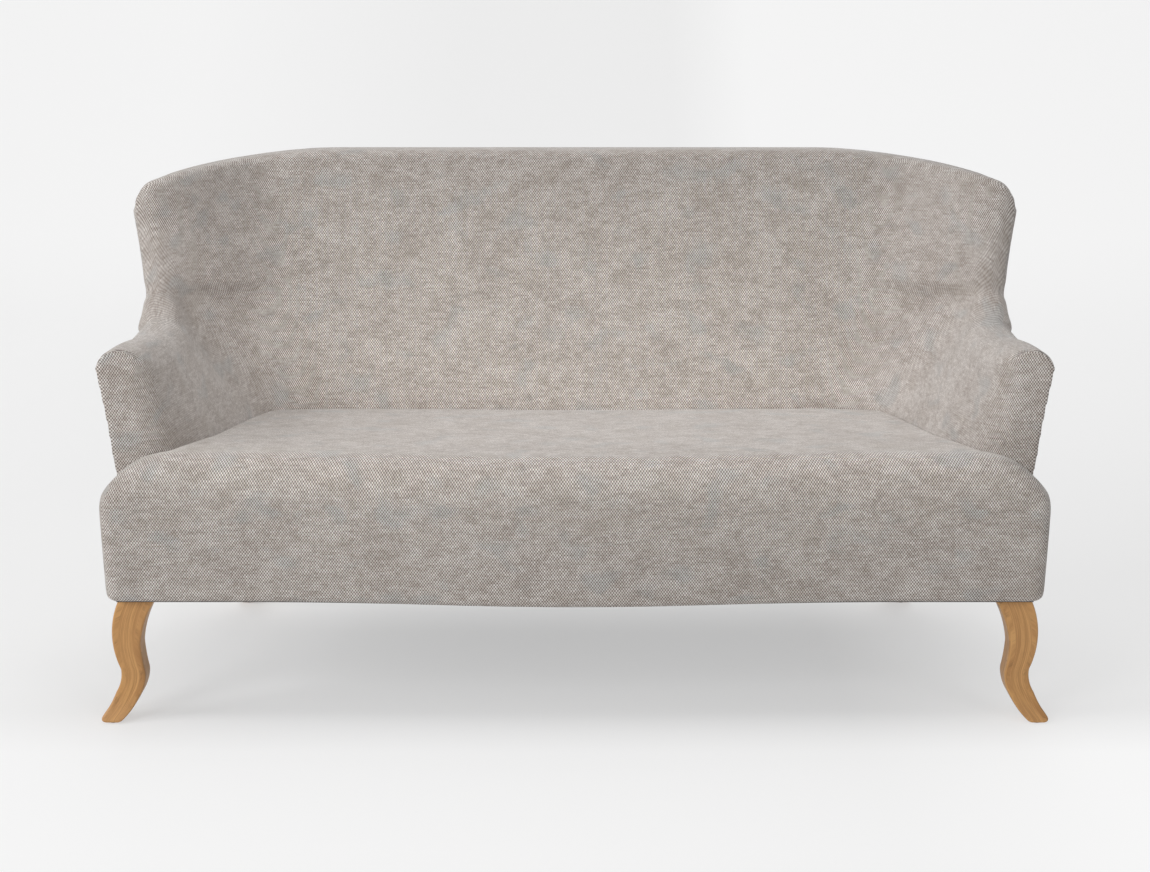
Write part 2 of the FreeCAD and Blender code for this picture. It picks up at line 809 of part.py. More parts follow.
def make_seat_webbing():
    reach = post_foot_half - seat_strap_edge
    long_marks = between(-reach, reach, seat_strap_spacing)
    cross_marks = between(arm_front + cross_strap_set, rear_rail_depth - cross_strap_edge,
                          cross_strap_spacing)
    front = border_pad + rail_thickness - strap_landing
    rear = rear_rail_depth + strap_landing
    long_straps = []
    for k, x in enumerate(long_marks):
        flat = strap(front, rear, x, cross_marks, k % 2 == 0)
        long_straps.append(quarter_turn(flat))
    cross_straps = []
    for k, depth in enumerate(cross_marks):
        half = side_rail_half(depth) - rail_thickness + strap_landing - 0.5 * strap_width * side_rail_taper
        cross_straps.append(strap(-half, half, depth, long_marks, k % 2 == 1))
    lift = Vector(0, 0, rail_top)
    for piece in long_straps + cross_straps:
        piece.translate(lift)
    return Part.makeCompound(long_straps), Part.makeCompound(cross_straps)


def make_back_webbing():
    reach = post_foot_half - back_strap_edge
    up_marks = between(-reach, reach, back_strap_spacing)
    cross_marks = between(top_rail_top + back_cross_low_edge, crest_rail_bottom - back_cross_high_edge,
                          back_cross_spacing)
    low = lower_rail_bottom + lower_rail_height - strap_landing
    high = crest_rail_bottom + strap_landing
    stretch = math.hypot(1.0, post_front_rake)

    def along(z):
        return (z - rail_bottom) * stretch
    marks = [along(z) for z in cross_marks]
    ups = []
    for k, x in enumerate(up_marks):
        ups.append(quarter_turn(strap(along(low), along(high), x, marks, k % 2 == 0)))
    crosses = []
    for k, (z, mark) in enumerate(zip(cross_marks, marks)):
        lowest = z - 0.5 * strap_width
        half = post_foot_half + strap_landing + post_lean * (lowest - rail_bottom)
        crosses.append(strap(-half, half, mark, up_marks, k % 2 == 1))
    turn = 90.0 - math.degrees(math.atan(post_front_rake))
    for piece in ups + crosses:
        piece.rotate(Vector(0, 0, 0), Vector(1, 0, 0), turn)
        piece.translate(Vector(0, post_front_foot, rail_bottom))
    return Part.makeCompound(ups), Part.makeCompound(crosses)


# Legs

def leg_scaled(line, height):
    """Outline points brought to the height of the leg, with the foot kept on its glide."""
    top = line[0][1] if line[0][1] > line[-1][1] else line[-1][1]
    return [(u, glide_height + z * height / top) for u, z in line]


def arcs_through(points):
    """Arcs joined end to end, each through three of the points."""
    return [arc(points[k], points[k + 1], points[k + 2]) for k in range(0, len(points) - 2, 2)]


def make_leg(middle_half, middle_depth, kick_sign, bolt_place):
    """Leg sawn from a blank along its front view and its side view."""
    base = middle_half - 0.5 * leg_top_width
    outer = [point(base + u, -far, z) for u, z in leg_scaled(leg_outer_line, leg_height)]
    inner = [point(base + u, -far, z) for u, z in leg_scaled(leg_inner_line, leg_height)]
    front_view = Part.Wire(arcs_through(outer) + [segment(outer[-1], inner[0])]
                           + arcs_through(inner) + [segment(inner[-1], outer[0])])
    blank = Part.Face(front_view).extrude(Vector(0, 3 * far, 0))
    near = [point(0, middle_depth - kick_sign * (0.5 * leg_depth + u * leg_kick / leg_kick_line[-1][0]), z)
            for u, z in leg_scaled(leg_kick_line, leg_height)]
    slim = leg_depth - leg_draw
    shares = (leg_depth, leg_depth, leg_depth, 0.5 * (leg_depth + slim), slim)
    away = [point(0, p.y + kick_sign * share, p.z) for p, share in zip(near, shares)]
    away.reverse()
    near_line = [segment(near[0], near[2]), arc(near[2], near[3], near[4])]
    away_line = [arc(away[0], away[1], away[2]), segment(away[2], away[4])]
    side_view = Part.Wire(near_line + [segment(near[4], away[0])] + away_line
                          + [segment(away[4], near[0])])
    leg = blank.common(Part.Face(side_view).extrude(Vector(far, 0, 0)))
    bore = Part.makeCylinder(bolt_radius + gap, far,
                             point(bolt_place[0], bolt_place[1], rail_bottom - bolt_depth - gap))
    return leg.cut(bore)


def foot_places():
    """Centres of the right feet as half width and depth, front and rear."""
    shift = 0.5 * (leg_outer_line[-1][0] + leg_inner_line[0][0] - leg_top_width)
    reach = leg_kick + 0.5 * leg_draw
    return ((front_leg_half + shift, front_leg_middle - reach),
            (rear_leg_half + shift, rear_leg_middle + reach))


def make_leg_bolts():
    """Hexagon bolts through the corner blocks down into the legs."""
    bolts = []
    radius = 0.5 * head_across / math.cos(math.pi / 6)
    seat = rail_bottom + block_height + gap
    for x, depth in leg_bolt_places():
        shank = Part.makeCylinder(bolt_radius, seat - rail_bottom + bolt_depth,
                                  point(x, depth, rail_bottom - bolt_depth))
        corners = [point(x + radius * math.cos(k * math.pi / 3),
                         depth + radius * math.sin(k * math.pi / 3), seat) for k in range(6)]
        bolt = shank.fuse(prism(corners, Vector(0, 0, head_height)))
        bolts += [bolt, mirrored(bolt)]
    return Part.makeCompound(bolts)


def make_glides():
    glides = []
    for x, depth in foot_places():
        disc = Part.makeCylinder(glide_radius, glide_height - gap, point(x, depth, 0))
        glides += [disc, mirrored(disc)]
    return Part.makeCompound(glides)


def make_dust_cover():
    """Cloth under the frame with a window round each leg top."""
    top = rail_bottom - gap
    cloth = frame_zone(-2 * gap, top - dust_thickness, top)
    half_x = 0.5 * leg_top_width + leg_window
    half_d = 0.5 * leg_depth + leg_window
    for x, depth in ((front_leg_half, front_leg_middle), (rear_leg_half, rear_leg_middle)):
        window = block(x - half_x, x + half_x, depth - half_d, depth + half_d, 0, far)
        cloth = cloth.cut(window).cut(mirrored(window))
    return cloth


def main():
    # Outside forms, and the same forms one cover thickness further in
    below = hem - 4 * cover
    arm_outer = arm_form(0.0, hem, arm_front)
    arm_hole = arm_form(cover, below, arm_front + cover, cover, True)
    arm_pad = arm_form(pad_inset, pad_foot, arm_front + pad_inset, 0.0, True)
    back_outer = back_form(0.0, hem)
    back_hole = back_form(cover, below, True)
    back_pad = back_form(pad_inset, pad_foot, True)
    arm_room = arm_form(-gap, below, arm_front - gap, cover)
    back_room = back_form(-gap, below)
    sides = [beside_seat(), mirrored(beside_seat())]
    rooms = [arm_room, mirrored(arm_room), back_room] + sides
    seat_outer = cut_all(seat_form(0.0, hem), rooms)
    seat_hole = seat_form(cover, below, True)
    deeper = [arm_form(-pad_inset, below, arm_front - pad_inset, cover)]
    deeper += [mirrored(deeper[0]), back_form(-pad_inset, below)] + sides

    # Frame
    post = make_back_post()
    posts = [post, mirrored(post)]
    save_pair("back_post", post)
    save("front_rail", make_front_rail())
    save("rear_rail", make_rear_rail(posts))
    save_pair("side_rail", make_side_rail())
    save("corner_blocks", make_corner_blocks())
    save("seat_stretchers", make_stretchers())
    save_pair("arm_panel", arm_panel(0.0))
    save_pair("arm_top_rail", top_rail(0.0))
    save_pair("arm_lower_rail", low_rail(0.0))
    save_pair("wing_panel", wing_panel(0.0))
    save("crest_rail", make_crest_rail(posts))
    save("back_lower_rail", make_lower_rail(posts))
    save("back_slats", make_back_slats())
    save("back_board", make_back_board())

    # Webbing and felt
    long_straps, cross_straps = make_seat_webbing()
    save("seat_webbing_long", long_straps)
    save("seat_webbing_cross", cross_straps)
    up_straps, back_cross = make_back_webbing()
    save("back_webbing_upright", up_straps)
    save("back_webbing_cross", back_cross)

    zone = frame_zone(gap, 0.5 * hem, foam_bottom)
    rails = [arm_panel(gap), top_rail(gap), low_rail(gap), wing_panel(gap)]
    rails += [mirrored(rail) for rail in rails]

    # Padding
    arm_foam = cut_all(arm_pad, [zone, arm_panel(gap), top_rail(gap), low_rail(gap)])
    save("arm_foams", Part.makeCompound([arm_foam, mirrored(arm_foam)]))
    save("back_foam", cut_all(back_pad, [zone, back_hollow()] + rails))
    seat_inner = cut_all(seat_form(pad_inset, pad_foot, True), deeper)
    save("seat_foam", seat_inner.cut(zone))
    felt_zone = frame_zone(-gap, felt_bottom, felt_bottom + felt_thickness)
    felt = felt_zone.common(seat_inner)
    save("seat_felt", felt)

    # Covers
    arm_cover = cut_all(arm_outer, [arm_hole, zone])
    save("arm_covers", Part.makeCompound([arm_cover, mirrored(arm_cover)]))
    save("back_cover", cut_all(back_outer, [back_hole, zone] + rails))
    save("seat_cover", seat_outer.cut(seat_hole))

    # Legs
    front_bolt, rear_bolt = leg_bolt_places()
    front_leg = make_leg(front_leg_half, front_leg_middle, 1, front_bolt)
    rear_leg = make_leg(rear_leg_half, rear_leg_middle, -1, rear_bolt)
    save("front_legs", Part.makeCompound([front_leg, mirrored(front_leg)]))
    save("rear_legs", Part.makeCompound([rear_leg, mirrored(rear_leg)]))
    save("leg_bolts", make_leg_bolts())
    save("leg_glides", make_glides())

    save("dust_cover", make_dust_cover())


main()
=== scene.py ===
"""Looks of a small upholstered sofa: woven covers, oak legs and a pale studio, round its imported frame."""
import json
import math

import bmesh
import bpy
import numpy as np
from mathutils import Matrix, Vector


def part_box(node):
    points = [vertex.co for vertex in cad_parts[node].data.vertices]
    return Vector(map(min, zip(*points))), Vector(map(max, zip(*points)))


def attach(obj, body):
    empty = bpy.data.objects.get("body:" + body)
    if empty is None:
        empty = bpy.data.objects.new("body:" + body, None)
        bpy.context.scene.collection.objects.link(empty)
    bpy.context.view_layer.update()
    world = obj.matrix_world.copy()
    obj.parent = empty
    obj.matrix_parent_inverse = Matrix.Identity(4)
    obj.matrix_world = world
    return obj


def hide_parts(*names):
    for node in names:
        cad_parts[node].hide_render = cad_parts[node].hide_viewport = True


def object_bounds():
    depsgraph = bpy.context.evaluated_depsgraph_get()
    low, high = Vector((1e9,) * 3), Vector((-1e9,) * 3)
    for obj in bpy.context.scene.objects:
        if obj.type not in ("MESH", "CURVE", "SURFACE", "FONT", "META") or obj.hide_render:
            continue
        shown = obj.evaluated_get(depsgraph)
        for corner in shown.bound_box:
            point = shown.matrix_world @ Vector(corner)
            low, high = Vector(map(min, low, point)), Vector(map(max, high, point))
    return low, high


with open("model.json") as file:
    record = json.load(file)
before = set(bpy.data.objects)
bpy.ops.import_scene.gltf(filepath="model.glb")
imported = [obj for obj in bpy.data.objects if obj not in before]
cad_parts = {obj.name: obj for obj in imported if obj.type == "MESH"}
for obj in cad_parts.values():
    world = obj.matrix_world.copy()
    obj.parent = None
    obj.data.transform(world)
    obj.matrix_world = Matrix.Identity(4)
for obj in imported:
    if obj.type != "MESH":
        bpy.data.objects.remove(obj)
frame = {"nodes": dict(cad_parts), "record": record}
cad_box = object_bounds()

# Sizes in millimetres, on the axes of the frame: X across, depth back from the straight part of
# the seat front, Z up. The straight part lies one bow behind the front of the box.
mm = 0.001
bow = 30.0
front_line = cad_box[0].y / mm + bow

# Seat
hem = 227.0
seat_height = 484.0
seat_foot_half = 832.5
seat_half = 834.5
widest_height = 398.0
ear_top = 415.5
shoulder_start = 680.0
ear_corner = 26.0
hem_corner = 14.0
bow_half = 560.0
front_roll = 88.0
front_rise = 60.0
ear_roll = 30.0
ear_rise = 22.0
seat_fall = 23.0
seat_crown = 5.0
front_draw = 4.0
crevice_round = 17.0
seat_gap = 0.8
shell_gap = 1.5

# Arms and sides
arm_front = 112.0
side_half_front = 820.0
side_half_rear = 745.0
side_rear_mark = 600.0
arm_break = 437.0
arm_lean = 0.161
rear_lean = 0.225
arm_shoulder = 629.0
arm_crest = 661.0
arm_crest_half = 803.0
arm_crest_inset = 14.0
arm_inner_top = 612.0
arm_inner_half_front = 754.0
arm_inner_half_mid = 735.0
arm_inner_half_rear = 772.0
seat_line_front = 731.0
seat_line_mid = 674.0
seat_line_rear = 632.0
seat_line_turn = 15.0
flare_end = 232.0
seat_line_bend = 448.0
arm_end = 500.0
wing_start = 382.0
arm_scoop = 11.0
arm_scoop_at = 300.0
arm_scoop_reach = 72.0
wing_rise = 50.0
wing_rise_power = 4.2
wing_root_fill = 18.0
arm_outer_middle = (0.345, 0.785)
arm_inner_middle = (0.25, 0.68)
arm_tail = 45.0
arm_edge = 3.5
arm_inner_edge = 42.0

# Back
back_height = 963.0
back_foot = 541.0
back_foot_height = 459.0
back_rake = 0.2495
rear_foot = 687.0
rear_rake = 0.088
flat_half_low = 477.0
flat_half_gain = 138.0
corner_half_low = 622.0
corner_spread = 0.84
wing_half = 857.0
wing_flare = 22.0
wing_flare_start = 712.0
wing_flare_rise = 161.0
wing_tip_width = 23.0
wing_nose_width = 46.0
wing_tip_rake = 0.16
wing_tip_round = 30.0
sweep_ease = 0.85
rear_narrowing = 14.0
rear_corner = 22.0
crest_flat_half = 488.0
crest_bend_half = 835.0
crest_bend_height = 916.0
crest_sag = 13.0
crest_side_half = 870.0
crest_side_height = 865.0
crest_corner_bulge = 14.5
crest_front_edge = 17.0
crest_rear_edge = 7.0
crest_fullness = 4.2
crest_fullness_end = (470.0, 690.0)
crest_side_draw = 1.0
crest_side_zone = (770.0, 862.0)

# Padding and sewing
side_swell = 5.5
side_swell_reach = 75.0
wing_swell = 1.5
seam_depth = 5.0
seam_set = 6.5
seam_width = 3.0
outer_side_start = 700.0
voxel = 5.0

# Places where the cover runs softly from the arms into the back and from the arms into the wings
valley_reach = 62.0
valley_inner_half = 440.0
valley_outer = (745.0, 790.0)
valley_foot = (400.0, 470.0)
valley_top = (640.0, 720.0)
root_height = 700.0
root_reach = 26.0
root_spread = 40.0

# Where the pile lies flatter on the wings, and where less so higher up
pressed_half = (715.0, 765.0)
pressed_depth = (370.0, 410.0)
pressed_height = (630.0, 670.0)
unpressed_height = (790.0, 850.0)

# How far the middle of a quarter arc lies from its corner, as a share of the radius
arc_cut = 1.0 - math.sqrt(0.5)


def lerp(a, b, share):
    return a + (b - a) * share


def smooth_step(value, low, high):
    share = np.clip((value - low) / (high - low), 0.0, 1.0)
    return share * share * (3.0 - 2.0 * share)


def past(value, mark):
    """How far a value lies past a mark, or 0 before it."""
    return np.maximum(0.0, value - mark)


def bell(value, middle, reach):
    """1 at the middle, falling off to both sides."""
    return np.exp(-((value - middle) / reach) ** 2)


def place(points):
    """Points in millimetres with depths, as metres in the frame."""
    points = np.array(points, float)
    points[..., 1] += front_line
    return points * mm


# Lines in a plane

def segment(a, b, count):
    share = np.linspace(0.0, 1.0, count, endpoint=False)[:, None]
    return np.array(a) * (1 - share) + np.array(b) * share


def arc(a, middle, b, count):
    """Points on the arc through three points, without the last one."""
    a, m, b = (np.array(p, float) for p in (a, middle, b))
    spans = np.array([m - a, b - a])
    if abs(np.linalg.det(spans)) < 1e-6:
        return segment(a, b, count)
    centre = np.linalg.solve(spans, 0.5 * np.array([m @ m - a @ a, b @ b - a @ a]))
    angles = [math.atan2(*(p - centre)[::-1]) for p in (a, m, b)]
    turn = (angles[2] - angles[0]) % (2 * math.pi)
    if (angles[1] - angles[0]) % (2 * math.pi) > turn:
        turn -= 2 * math.pi
    t = angles[0] + turn * np.linspace(0.0, 1.0, count, endpoint=False)
    radius = np.linalg.norm(a - centre)
    return centre + radius * np.stack([np.cos(t), np.sin(t)], 1)


def sweep_middle(a, b):
    """Middle of the arc that leaves the first point level across and ends at the second."""
    run, drop = b[0] - a[0], a[1] - b[1]
    angle = math.atan2(drop, run)
    sag = 0.5 * math.hypot(run, drop) * math.tan(0.5 * angle)
    return 0.5 * (a[0] + b[0]) + sag * math.sin(angle), 0.5 * (a[1] + b[1]) + sag * math.cos(angle)


def resample(points, count):
    """The same open line as evenly spaced points."""
    steps = np.linalg.norm(np.diff(points, axis=0), axis=1)
    along = np.concatenate([[0.0], np.cumsum(steps)])
    marks = np.linspace(0.0, along[-1], count)
    return np.stack([np.interp(marks, along, points[:, k]) for k in range(points.shape[1])], 1)


def edge_inset(distance, radius):
    """How far a rounded edge has drawn in at a distance from its end."""
    reach = np.clip(radius - distance, 0.0, radius)
    return radius - np.sqrt(np.maximum(radius ** 2 - reach ** 2, 0.0))


def ring_normals(ring):
    """Inward normals at the points of a closed ring in a plane."""
    ahead = np.roll(ring, -1, axis=0) - np.roll(ring, 1, axis=0)
    normals = np.stack([-ahead[:, 1], ahead[:, 0]], 1)
    normals /= np.maximum(np.linalg.norm(normals, axis=1), 1e-9)[:, None]
    area = np.sum(ring[:, 0] * np.roll(ring[:, 1], -1) - ring[:, 1] * np.roll(ring[:, 0], -1))
    return normals * np.sign(area)


# Meshes

def add_object(name, data):
    thing = bpy.data.objects.new(name, data)
    bpy.context.scene.collection.objects.link(thing)
    return thing


def new_object(name, points, faces):
    mesh = bpy.data.meshes.new(name)
    mesh.from_pydata([tuple(p) for p in points], [], faces)
    mesh.validate()
    mesh.update()
    return add_object(name, mesh)


def ring_faces(levels, count):
    """Faces between rings that lie one after another in a list of points."""
    faces = []
    for level in range(levels - 1):
        low, high = level * count, (level + 1) * count
        for k in range(count):
            n = (k + 1) % count
            faces.append((low + k, low + n, high + n, high + k))
    return faces


def ring_loft(name, rings):
    """Skin through rings of as many points each, closed by a fan at both ends."""
    rings = np.array(rings)
    count = rings.shape[1]
    points = rings.reshape(-1, 3).tolist()
    faces = ring_faces(len(rings), count)
    for start, flip in ((0, True), ((len(rings) - 1) * count, False)):
        centre = len(points)
        points.append(np.mean(points[start:start + count], axis=0).tolist())
        for k in range(count):
            pair = (start + k, start + (k + 1) % count)
            faces.append((centre,) + (pair[::-1] if flip else pair))
    return new_object(name, points, faces)


def values_of(items, name, width=1, kind=float):
    """One property of all items, in rows where it has more than one value."""
    flat = np.empty(width * len(items), kind)
    items.foreach_get(name, flat)
    return flat.reshape(-1, width) if width > 1 else flat


def coordinates(piece):
    return values_of(piece.data.vertices, "co", 3)


def set_coordinates(piece, points):
    piece.data.vertices.foreach_set("co", points.ravel())
    piece.data.update()


def half_places(piece):
    """Side, half width, depth and height of each point, in millimetres."""
    points = coordinates(piece) / mm
    return np.sign(points[:, 0]), np.abs(points[:, 0]), points[:, 1] - front_line, points[:, 2]


def point_normals(piece):
    return values_of(piece.data.vertices, "normal", 3)


def store_values(piece, name, values):
    layer = piece.data.attributes.new(name, "FLOAT", "POINT")
    layer.data.foreach_set("value", values)


def apply_modifiers(piece):
    """Leave the piece with the mesh that its modifiers give."""
    graph = bpy.context.evaluated_depsgraph_get()
    mesh = bpy.data.meshes.new_from_object(piece.evaluated_get(graph))
    old = piece.data
    piece.modifiers.clear()
    piece.data = mesh
    bpy.data.meshes.remove(old)


def joined(name, pieces):
    with bpy.context.temp_override(active_object=pieces[0], selected_editable_objects=pieces):
        bpy.ops.object.join()
    pieces[0].name = name
    return pieces[0]


def remeshed(piece, size):
    change = piece.modifiers.new("remesh", "REMESH")
    change.mode = "VOXEL"
    change.voxel_size = size * mm
    change.use_smooth_shade = True
    apply_modifiers(piece)


def relaxed(piece, weights, rounds):
    """Move each point towards the mean of its neighbours, by its own weight each round."""
    ends = values_of(piece.data.edges, "vertices", 2, np.int64)
    both = np.concatenate([ends, ends[:, ::-1]])
    both = both[weights[both[:, 0]] > 1e-3]
    both = both[np.argsort(both[:, 0], kind="stable")]
    owners, starts = np.unique(both[:, 0], return_index=True)
    counts = np.diff(np.append(starts, len(both)))[:, None]
    points = coordinates(piece)
    share = 0.5 * weights[owners][:, None]
    for _ in range(rounds):
        mean = np.add.reduceat(points[both[:, 1]], starts, axis=0) / counts
        points[owners] += share * (mean - points[owners])
    set_coordinates(piece, points)


def subdivided(piece):
    change = piece.modifiers.new("subdivision", "SUBSURF")
    change.levels = 1
    apply_modifiers(piece)


def flip_outwards(piece):
    work = bmesh.new()
    work.from_mesh(piece.data)
    bmesh.ops.recalc_face_normals(work, faces=work.faces)
    work.to_mesh(piece.data)
    work.free()


def drop_loose(piece):
    work = bmesh.new()
    work.from_mesh(piece.data)
    bmesh.ops.delete(work, geom=[v for v in work.verts if not v.link_faces], context="VERTS")
    work.to_mesh(piece.data)
    work.free()


def shade_smooth(piece):
    piece.data.polygons.foreach_set("use_smooth", [True] * len(piece.data.polygons))
    piece.data.update()


def dressed(piece, material, replaced):
    """Finish a piece: its material, its body and what it stands for."""
    piece.data.materials.clear()
    piece.data.materials.append(material)
    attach(piece, "root")
    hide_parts(*replaced)


# Surfaces of the body, close to those of the solids

def side_half(depth, z):
    front = side_half_front + arm_lean * past(z, arm_break)
    rear = side_half_rear + rear_lean * (z - hem)
    return lerp(front, rear, (depth - arm_front) / (side_rear_mark - arm_front))


def wing_outline(z):
    rise = past(z, wing_flare_start) / wing_flare_rise
    return wing_half + wing_flare * rise ** 1.4


def back_face(z):
    """Depth of the flat middle of the back."""
    return back_foot + back_rake * past(z, back_foot_height)


def back_flat_half(z):
    """Half width of the flat middle of the back."""
    share = past(z, back_foot_height) / (back_height - back_foot_height)
    return flat_half_low + flat_half_gain * share ** 0.8


def sweep_end_half(z):
    """Half width where the sweep from the back into a wing would end."""
    return corner_half_low + corner_spread * past(z, back_foot_height)


def front_flare(depth):
    """1 at the front of the arms, falling to 0 where they run straight."""
    return past(flare_end, depth) / (flare_end - arm_front)


def rise_share(depth):
    """0 where an arm starts to rise into its wing, and 1 at the wing."""
    return past(depth, wing_start) / (arm_end - wing_start)


def seat_line(depth):
    """Half width between the arms at the seat."""
    slope = (seat_line_rear - seat_line_mid) / (seat_line_bend - flare_end)
    back = seat_line_mid + slope * past(depth, flare_end)
    turn = past(depth, seat_line_bend) / (arm_end - seat_line_bend)
    return back + (seat_line_front - seat_line_mid) * front_flare(depth) - seat_line_turn * turn ** 2


def arm_inner_half(depth, power=1.3):
    half = lerp(arm_inner_half_mid, arm_inner_half_rear, rise_share(depth) ** power)
    return half + (arm_inner_half_front - arm_inner_half_mid) * front_flare(depth)


def arm_section(depth):
    """Section of the right arm across the sofa, and the radius of its front edge at each point."""
    share = rise_share(depth)
    risen = share ** wing_rise_power
    gain = wing_rise * risen
    root = wing_root_fill * (1.0 - 0.85 * risen) * smooth_step(share, 0.4, 0.7)
    low = seat_line(depth)
    dip = arm_scoop * bell(depth, arm_scoop_at, arm_scoop_reach)
    shoulder_z = arm_shoulder + gain - dip
    inner_z = arm_inner_top + 0.9 * gain - 0.2 * dip
    outer_x = side_half(depth, shoulder_z) + root
    crest_x = lerp(arm_crest_half, outer_x - arm_crest_inset, min(1.0, risen))
    a, b = (low, hem), (side_half(depth, hem), hem)
    c = (side_half(depth, arm_break), arm_break)
    d = (outer_x, shoulder_z)
    e = (crest_x, arm_crest + gain - 0.7 * dip)
    f = (arm_inner_half(depth), inner_z)
    g = (low, back_foot_height)
    outer = [lerp(d[k], e[k], arm_outer_middle[k]) for k in range(2)]
    inner = [lerp(f[k], e[k], arm_inner_middle[k]) for k in range(2)]
    outside = [segment(a, b, 24), segment(b, c, 30), segment(c, d, 28), arc(d, outer, e, 18)]
    over = arc(e, inner, f, 20)
    inside = [segment(f, g, 24), segment(g, a, 30)]
    radii = np.concatenate([
        np.full(sum(len(run) for run in outside), arm_edge),
        np.linspace(arm_edge, arm_inner_edge, len(over)),
        np.full(sum(len(run) for run in inside), arm_inner_edge)])
    return np.concatenate(outside + [over] + inside), radii


def make_arm():
    near = [0.0, 0.4, 1.2, 2.5, 4.5, 8.0, 13.0, 19.0, 26.0, 34.0, 44.0]
    offsets = near + list(np.arange(54.0, arm_end - arm_front + 1.0, 8.0))
    rings = []
    for offset in offsets:
        ring, radii = arm_section(arm_front + offset)
        inset = edge_inset(offset, radii)
        ring = ring + ring_normals(ring) * inset[:, None]
        rings.append(np.insert(ring, 1, arm_front + offset, axis=1))
    last = rings[-1].copy()
    last[:, 1] += arm_tail
    rings.append(last)
    return ring_loft("arm_form", place(rings))


def back_plan(z, count):
    """Level section of the back as its front line and its rear line, from left to right."""
    flat, face, outline = back_flat_half(z), back_face(z), wing_outline(z)
    root = arm_shoulder + wing_rise
    free = min(1.0, max(0.0, (z - root) / (wing_flare_start - root)))
    nose = wing_tip_round * free + 1.0
    tip = arm_end + 0.25 * nose + wing_tip_rake * past(z, wing_flare_start)
    corner = min(sweep_end_half(z), outline - lerp(wing_tip_width, wing_nose_width, free))
    side = min(side_half(tip + nose, z), outline)
    rear = rear_foot + rear_rake * (z - hem)
    rear_side = min(side_half(rear - rear_corner, z), outline - rear_narrowing)
    sweep = arc((flat, face), sweep_middle((flat, face), (corner, tip)), (corner, tip), 40)
    eased = face - (face - tip) * smooth_step(sweep[:, 0], flat, corner)
    sweep[:, 1] = lerp(sweep[:, 1], eased, sweep_ease * free)
    turn = np.linspace(0.0, 0.5 * math.pi, 16, endpoint=False)
    half_side = (0.5 * (side + rear_side), 0.5 * (tip + nose + rear - rear_corner))
    front = np.concatenate([
        segment((0.0, face), (flat, face), 40),
        sweep,
        np.column_stack([corner + (side - corner) * np.sin(turn), tip + nose * (1.0 - np.cos(turn))]),
        segment((side, tip + nose), half_side, 14),
        [half_side]])
    cut = arc_cut * rear_corner
    before, after = (rear_side - rear_corner, rear), (rear_side, rear - rear_corner)
    behind = np.concatenate([
        segment((0.0, rear), before, 60),
        arc(before, (rear_side - cut, rear - cut), after, 12),
        segment(after, half_side, 14),
        [half_side]])
    lines = []
    for line in (front, behind):
        left = line[::-1] * (-1, 1)
        lines.append(resample(np.concatenate([left, line[1:]]), count))
    return lines


def crest_height(x):
    """Height of the top edge over a half width."""
    x = np.abs(x)
    bend, side = (crest_bend_half, crest_bend_height), (crest_side_half, crest_side_height)
    middle = (0.5 * (crest_flat_half + bend[0]), 0.5 * (back_height + bend[1]) + crest_sag)
    corner = (0.5 * (bend[0] + side[0]) + 0.7 * crest_corner_bulge,
              0.5 * (bend[1] + side[1]) + 0.5 * crest_corner_bulge)
    line = np.concatenate([[(0.0, back_height)],
                           arc((crest_flat_half, back_height), middle, bend, 40),
                           arc(bend, corner, side, 20), [side]])
    fullness = crest_fullness * (1.0 - smooth_step(x, *crest_fullness_end))
    fullness -= crest_side_draw * smooth_step(x, *crest_side_zone)
    return np.interp(x, line[:, 0], line[:, 1]) + fullness


def make_back():
    """Back and wings as level rings, which bend up to follow the crest from the split up."""
    count = 301
    split = 660.0
    heights = np.linspace(hem, back_height + 8.0, 90)
    plans = np.array([back_plan(z, count) for z in heights])

    def at(levels):
        """Front and rear lines at a height for each of their points."""
        lines, index = [], np.arange(count)
        for side, z in enumerate(levels):
            position = np.interp(z, heights, np.arange(len(heights)))
            low = np.clip(position.astype(int), 0, len(heights) - 2)
            share = (position - low)[:, None]
            flat = plans[low, side, index] * (1 - share) + plans[low + 1, side, index] * share
            lines.append(np.column_stack([flat, z]))
        return lines

    crest = [np.full(count, back_height)] * 2
    for _ in range(6):
        crest = [crest_height(line[:, 0]) for line in at(crest)]
    stack = [[np.full(count, z)] * 2 for z in np.arange(hem, split, 10.0)]
    stack += [[split + (c - crest_front_edge - split) * share for c in crest]
              for share in np.linspace(0.0, 1.0, 26)[:-1]]
    stack += [[c - below for c in crest] for below in (crest_front_edge, 12.0, 8.0, 5.0, 2.5, 1.0, 0.3, 0.0)]
    rings = []
    for levels in stack:
        front, behind = at(levels)
        ring = np.concatenate([front, behind[-2:0:-1]])
        radii = crest_rear_edge + (crest_front_edge - crest_rear_edge) * np.clip(
            ring_normals(ring[:, :2])[:, 1], 0.0, 1.0) ** 2
        below = np.concatenate([crest[0] - front[:, 2], (crest[1] - behind[:, 2])[-2:0:-1]])
        inset = edge_inset(below, radii)
        ring[:, :2] += ring_normals(ring[:, :2]) * inset[:, None]
        rings.append(ring)
    rings = np.array(rings)
    total = rings.shape[1]
    points = rings.reshape(-1, 3)
    faces = ring_faces(len(rings), total)
    for start in (0, (len(rings) - 1) * total):
        partner = [start] + [start + total - k for k in range(1, count - 1)] + [start + count - 1]
        faces += [(start + k, start + k + 1, partner[k + 1], partner[k]) for k in range(1, count - 2)]
        faces.append((start, start + 1, partner[1]))
        faces.append((start + count - 2, start + count - 1, partner[count - 2]))
    return new_object("back_form", place(points), faces)


def mirrored(piece, name):
    points = coordinates(piece)
    points[:, 0] *= -1.0
    faces = [tuple(reversed(p.vertices)) for p in piece.data.polygons]
    return new_object(name, points, faces)


